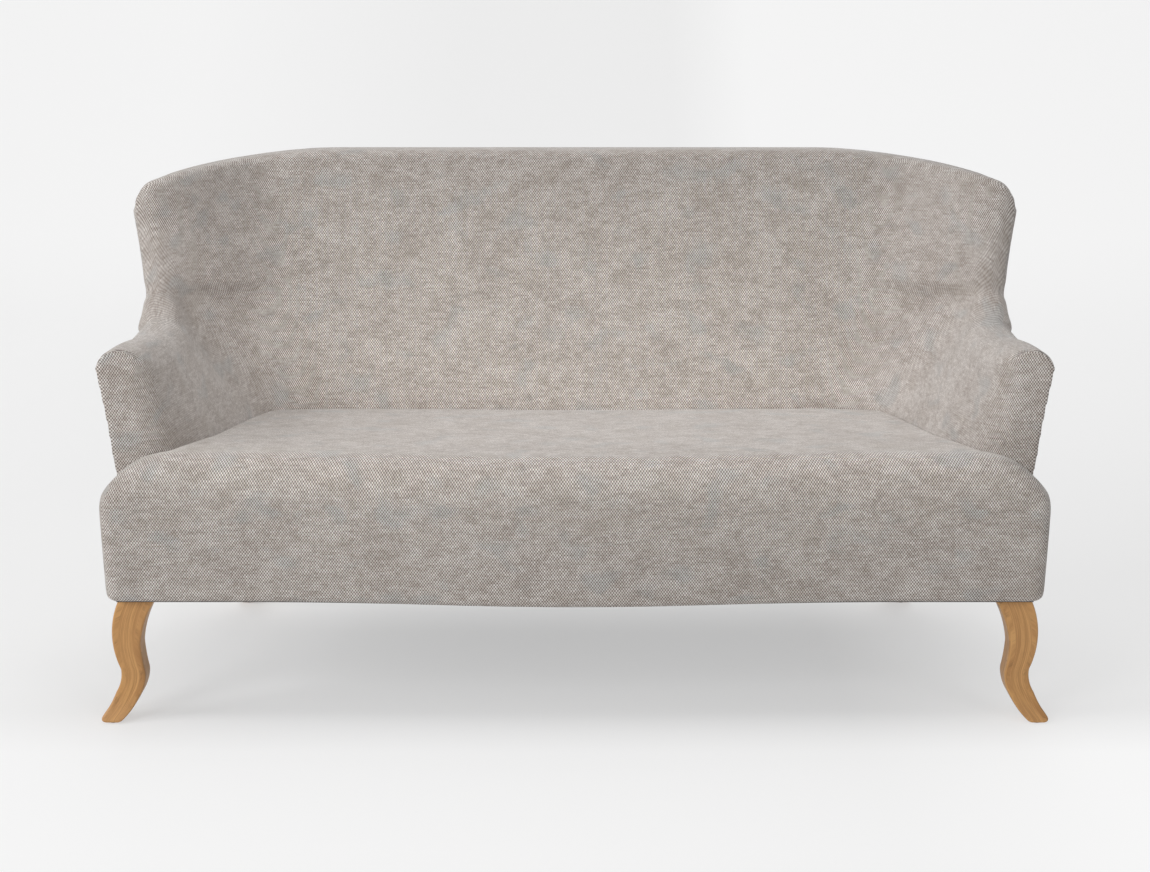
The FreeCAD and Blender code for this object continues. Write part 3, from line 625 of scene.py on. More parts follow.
def press_facing_seam(body):
    """Groove where the front facing of each arm is sewn to its side and top; its mask is kept to paint shade
    along the groove.
    """
    _, x, depth, _ = half_places(body)
    pressed = bell(depth, arm_front + seam_set, seam_width)
    pressed *= smooth_step(x, arm_inner_half_front + 14.0, arm_crest_half - 6.0)
    normals = point_normals(body)
    across = np.clip(1.0 - np.abs(normals[:, 1]) * 1.2, 0.0, 1.0)
    set_coordinates(body, coordinates(body) - normals * (seam_depth * pressed * across * mm)[:, None])
    store_values(body, "seam_shade", pressed)


def mark_pressed_pile(body):
    """The pile lies flatter where the cover is drawn round the wings."""
    _, x, depth, z = half_places(body)
    flat = smooth_step(x, *pressed_half) * smooth_step(depth, *pressed_depth) * smooth_step(z, *pressed_height)
    flat *= 1.0 - 0.6 * smooth_step(z, *unpressed_height)
    store_values(body, "pressed", flat * (point_normals(body)[:, 1] < -0.1))


def fill_sides(body):
    """Padding that swells the outer sides: low on the arms, and up the wings."""
    points = coordinates(body)
    side, x, _, z = half_places(body)
    outer = np.clip(point_normals(body)[:, 0] * side, 0.0, 1.0) * (x > outer_side_start)
    arm = side_swell * bell(z, arm_break, side_swell_reach) + 1.0
    wing = wing_swell * smooth_step(z, arm_crest + 22.0, arm_crest + 60.0)
    swell = lerp(arm, wing, smooth_step(z, arm_crest - 40.0, arm_crest + 40.0))
    points[:, 0] += side * outer * swell * mm
    set_coordinates(body, points)


def make_body():
    """Arms, wings and back as one padded shell, soft where they run into each other."""
    arm = make_arm()
    body = joined("upholstered_body", [make_back(), arm, mirrored(arm, "arm_form_left")])
    remeshed(body, voxel)
    _, x, depth, z = half_places(body)
    valley = bell(depth, arm_end, valley_reach) * (x > valley_inner_half)
    valley *= smooth_step(z, *valley_foot) * (1.0 - smooth_step(z, *valley_top))
    valley *= 1.0 - smooth_step(x, *valley_outer)
    wing_root = bell(depth, arm_end, root_reach) * bell(z, root_height, root_spread)
    covers = 0.6 * smooth_step(depth, arm_front + 8.0, arm_front + 26.0) * (z > hem + 8.0)
    for weights, rounds in ((valley, 200), (wing_root, 9), (covers, 5)):
        relaxed(body, weights, rounds)
    subdivided(body)
    fill_sides(body)
    mark_pressed_pile(body)
    press_facing_seam(body)
    shade_smooth(body)
    return body


# Seat

def seat_end():
    """Line where the seat meets the back and an arm, over a half width."""
    depths = np.linspace(arm_front, arm_end, 60)
    face, tip = (flat_half_low, back_foot), (corner_half_low, arm_end + shell_gap)
    line = np.concatenate([[(0.0, back_foot)], arc(face, sweep_middle(face, tip), tip, 30), [tip],
                           np.column_stack([seat_line(depths), depths])[::-1],
                           [(seat_half + 40.0, arm_front)]])
    keep = np.concatenate([[True], np.diff(np.maximum.accumulate(line[:, 0])) > 1e-6])
    return line[keep]


def seat_shoulder(x):
    reach = past(np.abs(x), shoulder_start) / (seat_half - shoulder_start)
    return np.maximum(0.0, 1.0 - reach ** 3) ** 0.9


def seat_roll(shoulder):
    """Height of the seat's top, and depth and height of its front roll."""
    return (lerp(ear_top, seat_height, shoulder), lerp(ear_roll, front_roll, shoulder),
            lerp(ear_rise, front_rise, shoulder))


def seat_bow(x):
    """How far the seat front bows out ahead of its straight part."""
    return 0.5 * bow * (1.0 + np.cos(np.pi * np.minimum(np.abs(x) / bow_half, 1.0)))


def seat_front(x):
    """Depth of the seat front: bowed in the middle and rounded at its ends."""
    reach = past(np.abs(x), seat_half - ear_corner)
    return ear_corner - np.sqrt(past(ear_corner ** 2, reach ** 2)) - seat_bow(x)


def distances(points, line):
    """Distance of each point from an open line."""
    starts, span = line[:-1], np.diff(line, axis=0)
    length = np.maximum((span ** 2).sum(1), 1e-9)
    share = ((points[:, None] - starts[None]) * span[None]).sum(2) / length
    near = starts[None] + np.clip(share, 0.0, 1.0)[..., None] * span[None]
    return np.sqrt(((points[:, None] - near) ** 2).sum(2)).min(1)


def seat_section(x, end, shell):
    """Section of the seat at a place across, from its front hem over the top to the shell."""
    top, roll, rise = seat_roll(seat_shoulder(x))
    front = seat_front(x)
    low = front + front_draw
    under, foot = (low + hem_corner, hem), (low, hem + hem_corner)
    face, crown = (front, top - rise), (front + roll, top)
    tops = np.linspace(crown[0], max(end, crown[0] + 1.0), 90)
    share = (tops - crown[0]) / (back_foot - front_roll)
    top_line = np.column_stack([tops, top - seat_fall * share + 4.0 * seat_crown * share * (1.0 - share)])
    near = distances(np.column_stack([np.full(len(tops), x), tops]), shell)
    top_line[:, 1] -= edge_inset(near, crevice_round)
    section = np.concatenate([
        arc(under, (low + arc_cut * hem_corner, hem + arc_cut * hem_corner), foot, 6),
        arc(foot, (front + 0.15 * front_draw, lerp(foot[1], face[1], 0.6)), face, 26),
        arc(face, (front + arc_cut * roll, top - arc_cut * rise), crown, 22),
        top_line,
        [(tops[-1], lerp(top_line[-1, 1], hem, s)) for s in np.linspace(0.1, 1.0, 24)],
        segment((tops[-1] - 4.0, hem), (under[0] + 4.0, hem), 40)])
    drawn = (seat_half - seat_foot_half) / (widest_height - hem)
    wide = x * (seat_half - drawn * (widest_height - section[:, 1])) / seat_half
    return np.column_stack([wide, section])


def make_seat():
    """Tight seat, lofted across with closer sections where its shoulders fall."""
    line = seat_end()
    shell = np.concatenate([line[::-1] * (-1, 1), line[1:]])
    fall_start, fall_end, round_start = 600.0, 740.0, seat_half - ear_corner
    xs = np.concatenate([np.arange(0.0, fall_start, 6.0), np.arange(fall_start, fall_end, 2.5),
                         np.arange(fall_end, round_start, 4.0),
                         round_start + ear_corner * np.sin(np.linspace(0.0, 0.5 * math.pi, 12))])
    xs = np.unique(np.concatenate([-xs[1:], xs]))
    ends = np.interp(np.abs(xs), line[:, 0], line[:, 1]) - seat_gap
    seat = ring_loft("seat_cushion", place([seat_section(x, end, shell) for x, end in zip(xs, ends)]))
    remeshed(seat, voxel)
    _, x, _, z = half_places(seat)
    relaxed(seat, bell(x, seat_foot_half, 16.0) * bell(z, hem, 16.0), 10)
    relaxed(seat, np.full(len(x), 0.6), 4)
    subdivided(seat)
    shade_smooth(seat)
    return seat


# Materials

class Nodes:
    """Short calls for building one material's nodes."""

    def __init__(self, name):
        self.material = bpy.data.materials.new(name)
        self.material.use_nodes = True
        self.tree = self.material.node_tree
        self.shader = self.tree.nodes["Principled BSDF"]

    def add(self, kind, **settings):
        node = self.tree.nodes.new(kind)
        for key, value in settings.items():
            setattr(node, key, value)
        return node

    def link(self, source, target):
        self.tree.links.new(source, target)

    def feed(self, socket, value):
        if isinstance(value, bpy.types.NodeSocket):
            self.link(value, socket)
        else:
            socket.default_value = value

    def math(self, operation, *values, clamp=False):
        node = self.add("ShaderNodeMath", operation=operation, use_clamp=clamp)
        for k, value in enumerate(values):
            self.feed(node.inputs[k], value)
        return node.outputs[0]

    def times(self, a, b):
        return self.math("MULTIPLY", a, b)

    def mix(self, factor, a, b):
        node = self.add("ShaderNodeMix", data_type="RGBA")
        self.feed(node.inputs["Factor"], factor)
        self.feed(node.inputs["A"], a)
        self.feed(node.inputs["B"], b)
        return node.outputs["Result"]

    def ramp(self, value, low, high):
        """Value spread from 0 at low to 1 at high."""
        node = self.add("ShaderNodeMapRange", clamp=True)
        self.feed(node.inputs["Value"], value)
        node.inputs["From Min"].default_value = low
        node.inputs["From Max"].default_value = high
        return node.outputs["Result"]

    def noise(self, vector, factors, detail=2.0, roughness=0.5, distortion=0.0, offset=(0.0, 0.0, 0.0),
              output="Fac"):
        """Noise over a vector times some factors, that is in cells per metre."""
        scaled = self.add("ShaderNodeMapping")
        self.feed(scaled.inputs["Vector"], vector)
        scaled.inputs["Scale"].default_value = factors
        scaled.inputs["Location"].default_value = offset
        node = self.add("ShaderNodeTexNoise")
        self.link(scaled.outputs["Vector"], node.inputs["Vector"])
        node.inputs["Scale"].default_value = 1.0
        node.inputs["Detail"].default_value = detail
        node.inputs["Roughness"].default_value = roughness
        node.inputs["Distortion"].default_value = distortion
        return node.outputs[output]

    def attribute(self, name, output="Fac"):
        return self.add("ShaderNodeAttribute", attribute_name=name).outputs[output]

    def place(self):
        """Place on the object, in metres."""
        return self.add("ShaderNodeTexCoord").outputs["Object"]

    def bump(self, height, distance, strength=1.0, normal=None):
        node = self.add("ShaderNodeBump")
        node.inputs["Strength"].default_value = strength
        node.inputs["Distance"].default_value = distance
        self.feed(node.inputs["Height"], height)
        if normal is not None:
            self.link(normal, node.inputs["Normal"])
        return node.outputs["Normal"]

    def set(self, **values):
        for key, value in values.items():
            self.feed(self.shader.inputs[key.replace("_", " ")], value)


def colour(r, g, b):
    """Colour as it looks on a screen, from 0 to 255."""
    def linear(v):
        v /= 255.0
        return v / 12.92 if v <= 0.04045 else ((v + 0.055) / 1.055) ** 2.4
    return (linear(r), linear(g), linear(b), 1.0)


def bead_rows(n, uv):
    """Rows of beads, each row half a bead along: relief of the beads, chance of each, place along a yarn."""
    bead_length, row_height = 4.9 * mm, 3.3 * mm
    pull = n.add("ShaderNodeVectorMath", operation="MULTIPLY_ADD")
    n.link(n.noise(uv, (45.0, 60.0, 1.0), output="Color"), pull.inputs[0])
    pull.inputs[1].default_value = (2.4 * mm, 1.3 * mm, 0.0)
    n.link(uv, pull.inputs[2])
    split = n.add("ShaderNodeSeparateXYZ")
    n.link(pull.outputs[0], split.inputs[0])
    row = n.math("DIVIDE", split.outputs["Y"], row_height)
    row_index = n.math("FLOOR", row)
    odd = n.math("FLOORED_MODULO", row_index, 2.0)
    along = n.math("DIVIDE", split.outputs["X"], bead_length)
    bead_index = n.math("FLOOR", n.math("ADD", along, n.times(odd, 0.5)))
    across = n.math("COSINE", n.times(n.math("SUBTRACT", along, 0.5), 2.0 * math.pi))
    upward = n.math("SINE", n.times(row, math.pi))
    pressed = n.attribute("pressed")
    relief = n.math("MULTIPLY_ADD", pressed, -0.36, 0.5)
    bead = n.math("MULTIPLY_ADD", n.times(across, upward), relief, 0.5)
    cell = n.add("ShaderNodeCombineXYZ")
    n.link(bead_index, cell.inputs[0])
    n.link(row_index, cell.inputs[1])
    chance = n.add("ShaderNodeTexWhiteNoise", noise_dimensions="2D")
    n.link(cell.outputs[0], chance.inputs["Vector"])
    yarn = n.add("ShaderNodeCombineXYZ")
    n.link(split.outputs["X"], yarn.inputs[0])
    n.link(n.times(row_index, 0.731), yarn.inputs[1])
    return bead, chance.outputs["Value"], yarn.outputs[0]


def make_upholstery():
    """Mottled chenille: pale beads over a dark ground, in streaks, soft patches and two faint tints."""
    n = Nodes("upholstery")
    uv = n.add("ShaderNodeUVMap", uv_map="weave").outputs["UV"]
    bead, chance, yarn = bead_rows(n, uv)
    streak = n.noise(yarn, (38.0, 1.0, 1.0), 2.0, 0.6)
    cloud = n.noise(uv, (11.0, 17.0, 1.0), 2.0, 0.5, 0.5, (5.3, 1.9, 0.0))
    patch = n.noise(uv, (30.0, 46.0, 1.0), 2.0, 0.5, 0.4)
    speck = n.noise(uv, (105.0, 170.0, 1.0), 2.0, 0.65, 0.0, (3.1, 7.7, 0.0))
    tint = n.noise(uv, (14.0, 19.0, 1.0), 1.0, 0.5, 0.3, (11.0, 5.0, 0.0))
    fibre = n.noise(uv, (900.0, 1500.0, 1.0), 2.0, 0.6)
    pale = n.math("ADD", n.times(cloud, 0.25),
                  n.math("ADD", n.times(patch, 0.3), n.times(streak, 0.45)))
    pale = n.ramp(pale, 0.4, 0.6)
    dots = n.math("SUBTRACT", n.ramp(speck, 0.32, 0.68), 0.5)
    grains = n.math("SUBTRACT", chance, 0.5)
    ground = n.mix(pale, colour(92, 80, 72), colour(110, 97, 89))
    ground = n.mix(n.math("MULTIPLY_ADD", dots, 0.2, 0.1), ground, colour(176, 168, 162))
    lit = n.math("MULTIPLY_ADD", pale, 0.7, 0.15)
    lit = n.math("MULTIPLY_ADD", grains, 0.45, lit)
    lit = n.math("MULTIPLY_ADD", dots, 0.3, lit, clamp=True)
    tone = n.mix(lit, colour(206, 195, 187), colour(255, 250, 245))
    tone = n.mix(n.times(n.ramp(tint, 0.58, 0.7), 0.4), tone, colour(206, 214, 216))
    tone = n.mix(n.times(n.ramp(tint, 0.42, 0.32), 0.25), tone, colour(206, 195, 182))
    base = n.mix(n.ramp(bead, 0.22, 0.78), ground, tone)
    base = n.mix(n.times(n.ramp(fibre, 0.35, 0.7), 0.2), base, colour(150, 143, 138))
    # Painted shade: the cover is darkened along the groove of each arm's facing seam, where shade falls in it.
    painted_seam_shade = n.attribute("seam_shade")
    base = n.mix(n.times(painted_seam_shade, 0.6), base, colour(84, 78, 74))
    n.set(Base_Color=base, Roughness=0.9, Sheen_Weight=0.35, Sheen_Roughness=0.45)
    n.shader.inputs["Specular IOR Level"].default_value = 0.2
    height = n.math("ADD", bead, n.times(fibre, 0.4))
    n.set(Normal=n.bump(height, 0.7 * mm, 0.8, n.bump(patch, 1.5 * mm, 0.3)))
    return n.material


def make_wood(name, light, dark, attribute=None):
    """Straight grained wood with fine pores, along Z or along a piece's own grain."""
    n = Nodes(name)
    grain = n.attribute(attribute, "Vector") if attribute else n.place()
    rings = n.noise(grain, (150.0, 90.0, 4.0), 3.0, 0.55, 0.3)
    lines = n.noise(grain, (430.0, 330.0, 9.0), 3.0, 0.6)
    pores = n.noise(grain, (1600.0, 1300.0, 45.0), 2.0, 0.6)
    base = n.mix(n.times(n.ramp(rings, 0.36, 0.64), 0.5), colour(*light), colour(*dark))
    base = n.mix(n.times(n.ramp(lines, 0.44, 0.66), 0.6), base, colour(*dark))
    base = n.mix(n.times(n.ramp(pores, 0.56, 0.72), 0.4), base, colour(*[0.66 * v for v in dark]))
    rough = n.math("ADD", 0.36, n.times(lines, 0.22))
    n.set(Base_Color=base, Roughness=rough)
    n.shader.inputs["Coat Weight"].default_value = 0.15
    n.shader.inputs["Coat Roughness"].default_value = 0.35
    n.set(Normal=n.bump(n.math("ADD", lines, n.times(pores, 0.5)), 0.12 * mm, 0.6))
    return n.material


def make_cloth(name, pale, deep, threads, relief=0.2):
    """Plain cloth for the under side, straps and felt, with threads per metre and relief in millimetres."""
    n = Nodes(name)
    at = n.place()
    fine = n.noise(at, (threads, threads, threads), 3.0, 0.7)
    broad = n.noise(at, (18.0, 18.0, 18.0))
    base = n.mix(n.ramp(fine, 0.35, 0.65), colour(*deep), colour(*pale))
    base = n.mix(n.times(n.ramp(broad, 0.4, 0.6), 0.3), base, colour(*deep))
    n.set(Base_Color=base, Roughness=0.95, Sheen_Weight=0.15)
    n.set(Normal=n.bump(fine, relief * mm, 0.7))
    return n.material


def make_steel():
    n = Nodes("zinc_steel")
    spangle = n.noise(n.place(), (300.0, 300.0, 300.0), 3.0)
    n.set(Base_Color=n.mix(spangle, colour(176, 178, 180), colour(206, 206, 204)), Metallic=1.0,
          Roughness=n.math("ADD", 0.28, n.times(spangle, 0.2)))
    n.set(Normal=n.bump(spangle, 0.05 * mm, 0.4))
    return n.material


def make_glide_plastic():
    n = Nodes("glide_nylon")
    scuff = n.noise(n.place(), (500.0, 500.0, 120.0), 4.0, 0.7)
    n.set(Base_Color=n.mix(n.ramp(scuff, 0.4, 0.7), colour(58, 48, 40), colour(92, 80, 68)),
          Roughness=n.math("ADD", 0.45, n.times(scuff, 0.25)))
    n.set(Normal=n.bump(scuff, 0.05 * mm, 0.5))
    return n.material


# Weave

def loop_arrays(mesh):
    """Vertex of each loop, and the normal of its face."""
    totals = values_of(mesh.polygons, "loop_total", 1, np.int64)
    normals = np.repeat(values_of(mesh.polygons, "normal", 3), totals, axis=0)
    return values_of(mesh.loops, "vertex_index", 1, np.int64), normals


def store_weave(mesh, u, v):
    layer = mesh.uv_layers.new(name="weave")
    layer.data.foreach_set("uv", (np.column_stack([u, v]) * mm).ravel())


def back_front_depth(x, z):
    """Depth of the front of the back and its wings over a half width, and of its flat middle."""
    flat, face = back_flat_half(z), back_face(z)
    corner = np.minimum(sweep_end_half(z), wing_outline(z) - wing_tip_width)
    tip = arm_end + wing_tip_rake * past(z, wing_flare_start)
    share = np.clip((x - flat) / (corner - flat), 0.0, 1.0)
    return face - (face - tip) * share ** 2, face


def lay_body_weave(body):
    """Rows run level round the body; each side of it is one cloth, sewn at its edges."""
    loops, normals = loop_arrays(body.data)
    sign, x, depth, z = (values[loops] for values in half_places(body))
    ahead, face = back_front_depth(x, z)
    blend = smooth_step(depth, 300.0, arm_end)
    inner_u = sign * (x + lerp(back_foot, face, blend) - np.minimum(depth, ahead))
    risen = np.minimum(rise_share(depth), 1.0) ** wing_rise_power
    inside = arm_inner_half(depth, 1.0) + 16.0
    crest_z = arm_crest + wing_rise * risen
    crest_x = lerp(arm_crest_half, side_half(depth, crest_z) - arm_crest_inset, risen)
    over = past(x, inside) * smooth_step(z, arm_inner_top - 60.0, arm_inner_top)
    over *= 1.0 - smooth_step(z, wing_flare_start - 40.0, crest_side_height)
    level = np.where((x > crest_x) & (depth < arm_end), crest_z + np.abs(z - crest_z), z)
    behind = past(depth, ahead) * smooth_step(z, wing_flare_start, crest_side_height)
    facing = (normals[:, 1] < -0.72) & (depth < arm_front + 16.0)
    inner_v = np.where(facing, z, level + over + behind)
    side_u = sign * (side_half(arm_front, z) + back_foot - 2.0 * arm_front + depth)
    rear = (normals[:, 1] > np.abs(normals[:, 0])) & (normals[:, 2] < 0.7) & (depth > 640.0)
    side = (normals[:, 0] * sign > np.abs(normals[:, 1])) & (normals[:, 2] < 0.72)
    side &= (x > side_half(depth, z) - 60.0) & ~rear
    under = normals[:, 2] < -0.7
    u = np.where(side, side_u, np.where(rear | under, -sign * x, inner_u))
    v = np.where(side | rear, z, np.where(under, depth, inner_v))
    store_weave(body.data, u, v)


def lay_seat_weave(seat):
    """Rows run level over the front and on over the top of the seat."""
    loops, normals = loop_arrays(seat.data)
    sign, x, depth, z = (values[loops] for values in half_places(seat))
    top, roll, rise = seat_roll(seat_shoulder(x))
    low = top - rise
    back, up = roll - seat_bow(x) - depth, z - low
    length = 0.75 * 0.5 * math.pi * np.sqrt(0.5 * (roll ** 2 + rise ** 2))
    angle = np.arctan2(np.maximum(up, 0.0) / rise, np.maximum(back, 1e-3) / roll) / (0.5 * math.pi)
    top_v = np.where(up < 0.0, z, np.where(back > 0.0, low + length * angle, low + length - back))
    steep = np.abs(normals)
    side = (steep[:, 0] > steep[:, 1]) & (steep[:, 2] < 0.7) & (x > seat_half - 60.0)
    under = normals[:, 2] < -0.7
    u = np.where(side, sign * (x + depth), sign * x)
    v = np.where(side, z, np.where(under, depth, top_v))
    store_weave(seat.data, u, v)


# Legs

leg_height = 230.0
leg_top_width = 65.0
leg_outer_line = ((65.0, leg_height), (82.0, 160.0), (70.0, 96.0), (71.0, 74.0), (80.0, 52.0),
                  (91.0, 29.0), (104.0, 10.0), (104.0, 3.5), (99.0, 0.0))
leg_inner_line = ((72.0, 0.0), (54.0, 18.0), (39.0, 42.0), (29.0, 64.0), (26.0, 88.0),
                  (30.0, 115.0), (32.0, 141.0), (21.0, 188.0), (0.0, leg_height))
leg_kick_line = ((0.0, leg_height), (0.0, 165.0), (0.0, 100.0), (5.0, 42.0), (23.0, 0.0))
leg_depth = 41.0
leg_draw = 6.0
leg_draw_start = 80.0
leg_edge = 4.0
leg_foot_round = 3.0
front_leg_half = 778.0
front_leg_middle = 45.5
rear_leg_half = 650.0
rear_leg_middle = 650.0
leg_lift = 1.8
leg_top = 229.6
leg_grain_shift = 0.31


def outline_at(points, heights):
    """Values of an outline of arcs at some heights."""
    arcs = [arc(points[k], points[k + 1], points[k + 2], 16) for k in range(0, len(points) - 2, 2)]
    line = np.concatenate(arcs + [np.array(points[-1:])])
    line = line[np.argsort(line[:, 1], kind="stable")]
    return np.interp(heights, line[:, 1], line[:, 0])


def rounded_box(middle, half_size, corner):
    """Ring round a rectangle with rounded corners."""
    ring = []
    for quarter, sides in enumerate(((1, 1), (-1, 1), (-1, -1), (1, -1))):
        for t in np.linspace(0.0, 0.5 * math.pi, 7):
            angle = quarter * 0.5 * math.pi + t
            turn = np.array([math.cos(angle), math.sin(angle)])
            ring.append(middle + (half_size - corner) * sides + corner * turn)
    return np.array(ring)


def make_leg(name, half, middle, kick_sign, side):
    """Leg with rounded edges; its grain runs along the curve."""
    heights = np.linspace(0.0, leg_height, 93)
    outer, inner = outline_at(leg_outer_line, heights), outline_at(leg_inner_line, heights)
    kick = outline_at(leg_kick_line, heights)
    thick = leg_depth - leg_draw * np.clip(1.0 - heights / leg_draw_start, 0.0, 1.0)
    rings, grains, line = [], [], []
    for k, z in enumerate(heights):
        foot = edge_inset(z, leg_foot_round)
        near, away = 0.5 * leg_depth + kick[k] - foot, 0.5 * leg_depth + kick[k] - thick[k] + foot
        low, high = inner[k] + foot, outer[k] - foot
        mid = np.array([0.5 * (low + high), 0.5 * (near + away)])
        half_size = np.array([0.5 * (high - low), 0.5 * (near - away)])
        ring = rounded_box(mid, half_size, min(leg_edge, 0.9 * half_size.min()))
        line.append((mid[0], mid[1], z))
        run = np.linalg.norm(np.diff(line, axis=0), axis=1).sum() if k else 0.0
        x = half - 0.5 * leg_top_width + ring[:, 0]
        depth = middle - kick_sign * ring[:, 1]
        height = leg_lift + z * (leg_top - leg_lift) / leg_height
        rings.append(np.column_stack([side * x, depth, np.full(len(ring), height)]))
        grains.append(np.column_stack([ring - mid + (half, middle), np.full(len(ring), run)]))
    leg = ring_loft(name, place(rings))
    ends = [[half, middle, 0.0], [half, middle, run]]
    points = np.concatenate([np.array(grains).reshape(-1, 3), ends]) * mm
    points[:, 0] += leg_grain_shift * side
    layer = leg.data.attributes.new("grain", "FLOAT_VECTOR", "POINT")
    layer.data.foreach_set("vector", points.ravel())
    flip_outwards(leg)
    subdivided(leg)
    shade_smooth(leg)
    return leg


# Under cloth

under_front_set = 16.0
under_taper = 0.1055
under_bow_share = 0.8
under_sag = 3.0
under_window = (41.0, 27.0)


def make_dust_cloth():
    """Thin black cloth stapled under the frame, sagging a little between the rails."""
    low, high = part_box("dust_cover")
    lift = 0.5 * (low.z + high.z) / mm
    columns, rows = 110, 46
    xs = np.linspace(low.x, high.x, columns) / mm
    front, rear = low.y / mm - front_line + under_front_set, high.y / mm - front_line
    leads = under_bow_share * seat_bow(xs)
    points = []
    for depth in np.linspace(front, rear, rows):
        share = (depth - front) / (rear - front)
        for x, lead in zip(xs, leads):
            edge = min(1.0 - abs(x) / xs[-1], share, 1.0 - share)
            sag = under_sag * (1.0 - math.exp(-9.0 * max(0.0, edge)))
            points.append((x * (1.0 - under_taper * share), depth - lead * (1.0 - share), lift - sag))
    windows = [(front_leg_half, front_leg_middle), (rear_leg_half, rear_leg_middle)]
    faces = []
    for j in range(rows - 1):
        for i in range(columns - 1):
            k = j * columns + i
            x, depth, _ = np.mean([points[k], points[k + columns + 1]], axis=0)
            if not any(abs(abs(x) - half) < under_window[0] and abs(depth - middle) < under_window[1]
                       for half, middle in windows):
                faces.append((k, k + 1, k + columns + 1, k + columns))
    cloth = new_object("under_cloth", place(points), faces)
    change = cloth.modifiers.new("thickness", "SOLIDIFY")
    change.thickness = 0.5 * mm
    apply_modifiers(cloth)
    drop_loose(cloth)
    shade_smooth(cloth)
    return cloth, (high.x - low.x, high.y - low.y)


# Studio

def make_camera():
    """Camera at the photograph's place, worked out from its lines."""
    focal_pixels, image_width = 1774.0, 1150.0
    pitch = math.radians(13.8)
    depth, height = -2965.0, 1262.0
    data = bpy.data.cameras.new("camera")
    data.sensor_width = 36.0
    data.lens = focal_pixels / image_width * data.sensor_width
    camera = add_object("camera", data)
    camera.location = place([(0.0, depth, height)])[0]
    camera.rotation_euler = (0.5 * math.pi - pitch, 0.0, 0.0)
    bpy.context.scene.camera = camera


def make_backdrop_finish():
    """Pale matt floor that also glows by itself, where the camera and gloss see it. The glow is stronger in
    front of the sofa and from under its right end outwards, which paints light over part of the sofa's cast
    shadow there, and stronger towards the far wall and to the left.
    """
    n = Nodes("backdrop")
    path = n.add("ShaderNodeLightPath")
    seen = n.math("MAXIMUM", path.outputs["Is Camera Ray"],
                  n.math("MAXIMUM", path.outputs["Is Glossy Ray"], path.outputs["Is Transmission Ray"]))
    split = n.add("ShaderNodeSeparateXYZ")
    n.link(n.place(), split.inputs[0])
    tone = n.mix(n.ramp(split.outputs["Y"], 0.5, 5.0), colour(253, 253, 253), colour(255, 255, 255))
    # Painted light: the glow share rises in front of the sofa and towards the right from under its right end,
    # fading its cast shadow there.
    share = 0.47
    for axis, start, end, gain in (("Y", 0.5, 5.0, 0.21), ("X", -0.6, -2.0, 0.12),
                                   ("X", 0.5, 0.9, 0.14), ("Y", -0.3, -0.48, 0.24)):
        share = n.math("MULTIPLY_ADD", n.ramp(split.outputs[axis], start, end), gain, share)
    glow = n.add("ShaderNodeEmission")
    n.link(tone, glow.inputs["Color"])
    glow.inputs["Strength"].default_value = 1.0
    matt = n.add("ShaderNodeBsdfDiffuse")
    matt.inputs["Color"].default_value = colour(236, 236, 236)
    blend = n.add("ShaderNodeMixShader")
    n.link(n.times(seen, share), blend.inputs[0])
    n.link(matt.outputs[0], blend.inputs[1])
    n.link(glow.outputs[0], blend.inputs[2])
    n.link(blend.outputs[0], n.tree.nodes["Material Output"].inputs["Surface"])
    return n.material


def make_backdrop():
    """Floor that curves up into a wall behind, in metres."""
    front, bend, radius, top, half = -9.0, 4.0, 3.0, 9.0, 14.0
    line = [(front, 0.0), (bend, 0.0)]
    line += [(bend + radius * math.sin(t), radius - radius * math.cos(t))
             for t in np.linspace(0.1, 0.5 * math.pi, 14)]
    line.append((bend + radius, top))
    points = [(x, y, z) for x in (-half, half) for y, z in line]
    count = len(line)
    faces = [(k, count + k, count + k + 1, k + 1) for k in range(count - 1)]
    drop = new_object("backdrop", points, faces)
    shade_smooth(drop)
    drop.data.materials.append(make_backdrop_finish())


def make_light(name, place_at, target, size, power, spread=180.0):
    data = bpy.data.lights.new(name, "AREA")
    data.shape = "RECTANGLE"
    data.size, data.size_y = size
    data.energy = power
    data.spread = math.radians(spread)
    lamp = add_object(name, data)
    lamp.location = place_at
    lamp.rotation_euler = (Vector(target) - Vector(place_at)).to_track_quat("-Z", "Y").to_euler()


def make_world():
    world = bpy.data.worlds.new("studio")
    world.use_nodes = True
    shade = world.node_tree.nodes["Background"]
    shade.inputs["Color"].default_value = (1.0, 1.0, 1.0, 1.0)
    shade.inputs["Strength"].default_value = 0.11
    bpy.context.scene.world = world


# The scene

make_camera()
upholstery = make_upholstery()
oak = make_wood("oak_legs", (216, 164, 102), (164, 112, 60), "grain")

body = make_body()
lay_body_weave(body)
dressed(body, upholstery, ("arm_covers", "back_cover", "arm_foams", "back_foam"))

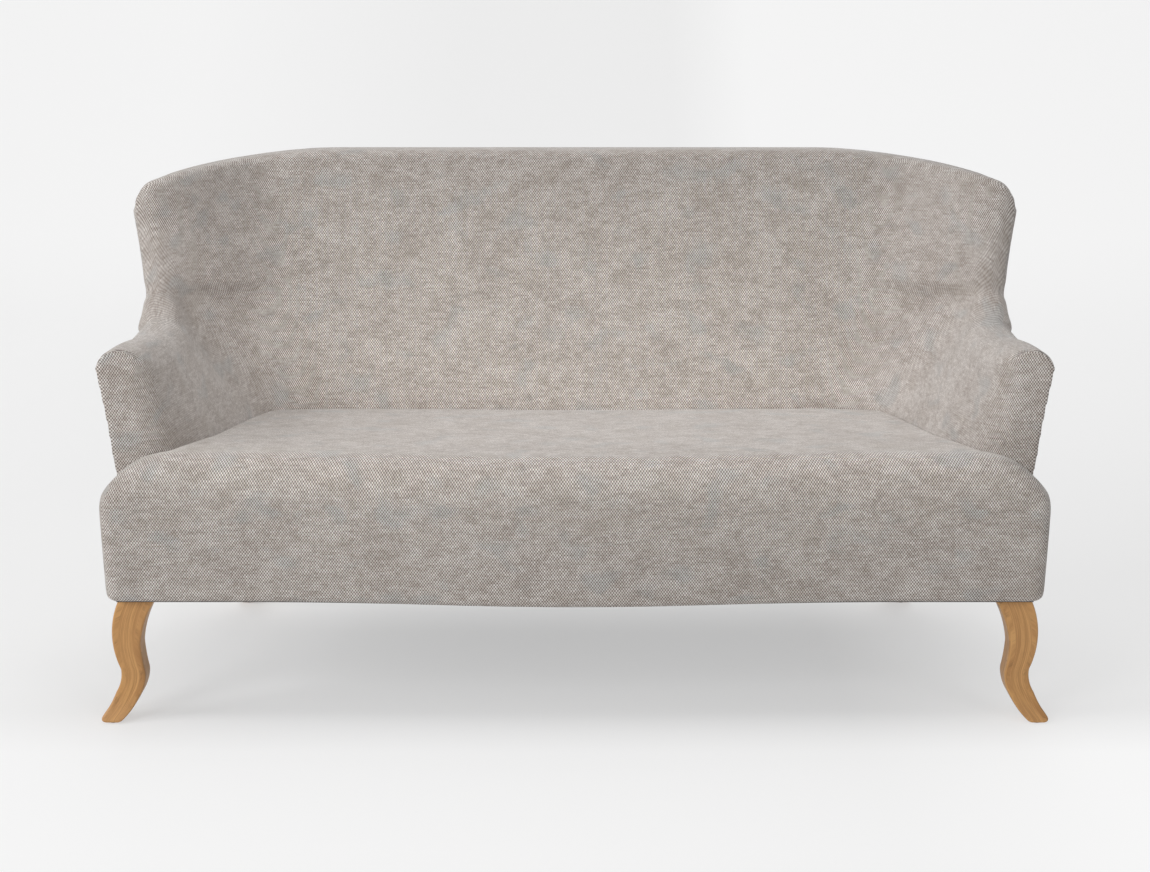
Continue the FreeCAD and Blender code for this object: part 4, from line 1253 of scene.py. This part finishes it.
seat = make_seat()
lay_seat_weave(seat)
dressed(seat, upholstery, ("seat_cover", "seat_foam"))

for label, half, middle, kick_sign in (("front", front_leg_half, front_leg_middle, 1),
                                       ("rear", rear_leg_half, rear_leg_middle, -1)):
    for word, side in (("left", -1), ("right", 1)):
        leg = make_leg(label + "_leg_" + word, half, middle, kick_sign, side)
        dressed(leg, oak, (label + "_legs",))

under, under_size = make_dust_cloth()
dust_cloth = make_cloth("dust_cloth", (46, 45, 45), (26, 26, 27), 1400.0, 0.1)
dressed(under, dust_cloth, ("dust_cover",))

finishes = {
    "frame_timber": make_wood("frame_beech", (214, 180, 138), (188, 146, 102)),
    "frame_board": make_wood("frame_board", (203, 170, 128), (176, 138, 96)),
    "webbing": make_cloth("elastic_webbing", (70, 66, 62), (38, 36, 34), 900.0),
    "felt": make_cloth("needled_felt", (120, 116, 112), (72, 70, 68), 700.0, 0.5),
    "steel": make_steel(),
    "glide": make_glide_plastic(),
}
for part in frame["record"]["subparts"]:
    finish = finishes.get(part["material_slot"])
    node = frame["nodes"].get(part["node"])
    if finish and node:
        for held in node.material_slots:
            held.link = "OBJECT"
            held.material = finish

make_backdrop()
make_world()
sofa_middle, seat_middle, seat_foot = (0.0, 0.0, 0.5), (0.0, 0.0, 0.4), (0.0, 0.16, 0.46)
make_light("left", (-6.5, -1.5, 3.5), sofa_middle, (3.0, 3.0), 173.0)
make_light("key", (-5.0, -5.5, 4.5), sofa_middle, (3.0, 3.0), 151.0)
make_light("right", (5.0, -5.5, 4.5), sofa_middle, (3.0, 3.0), 56.0)
make_light("front", (0.0, -7.5, 3.0), sofa_middle, (4.0, 3.0), 88.0)
make_light("overhead", (0.0, 0.0, 6.0), seat_middle, (4.0, 4.0), 74.0)
make_light("behind", (0.0, 3.0, 5.5), seat_middle, (4.0, 3.0), 81.0)
make_light("seat_band", (0.0, -3.0, 3.2), seat_foot, (1.5, 0.12), 1.0, 16.0)

bpy.context.scene.view_settings.view_transform = "Standard"
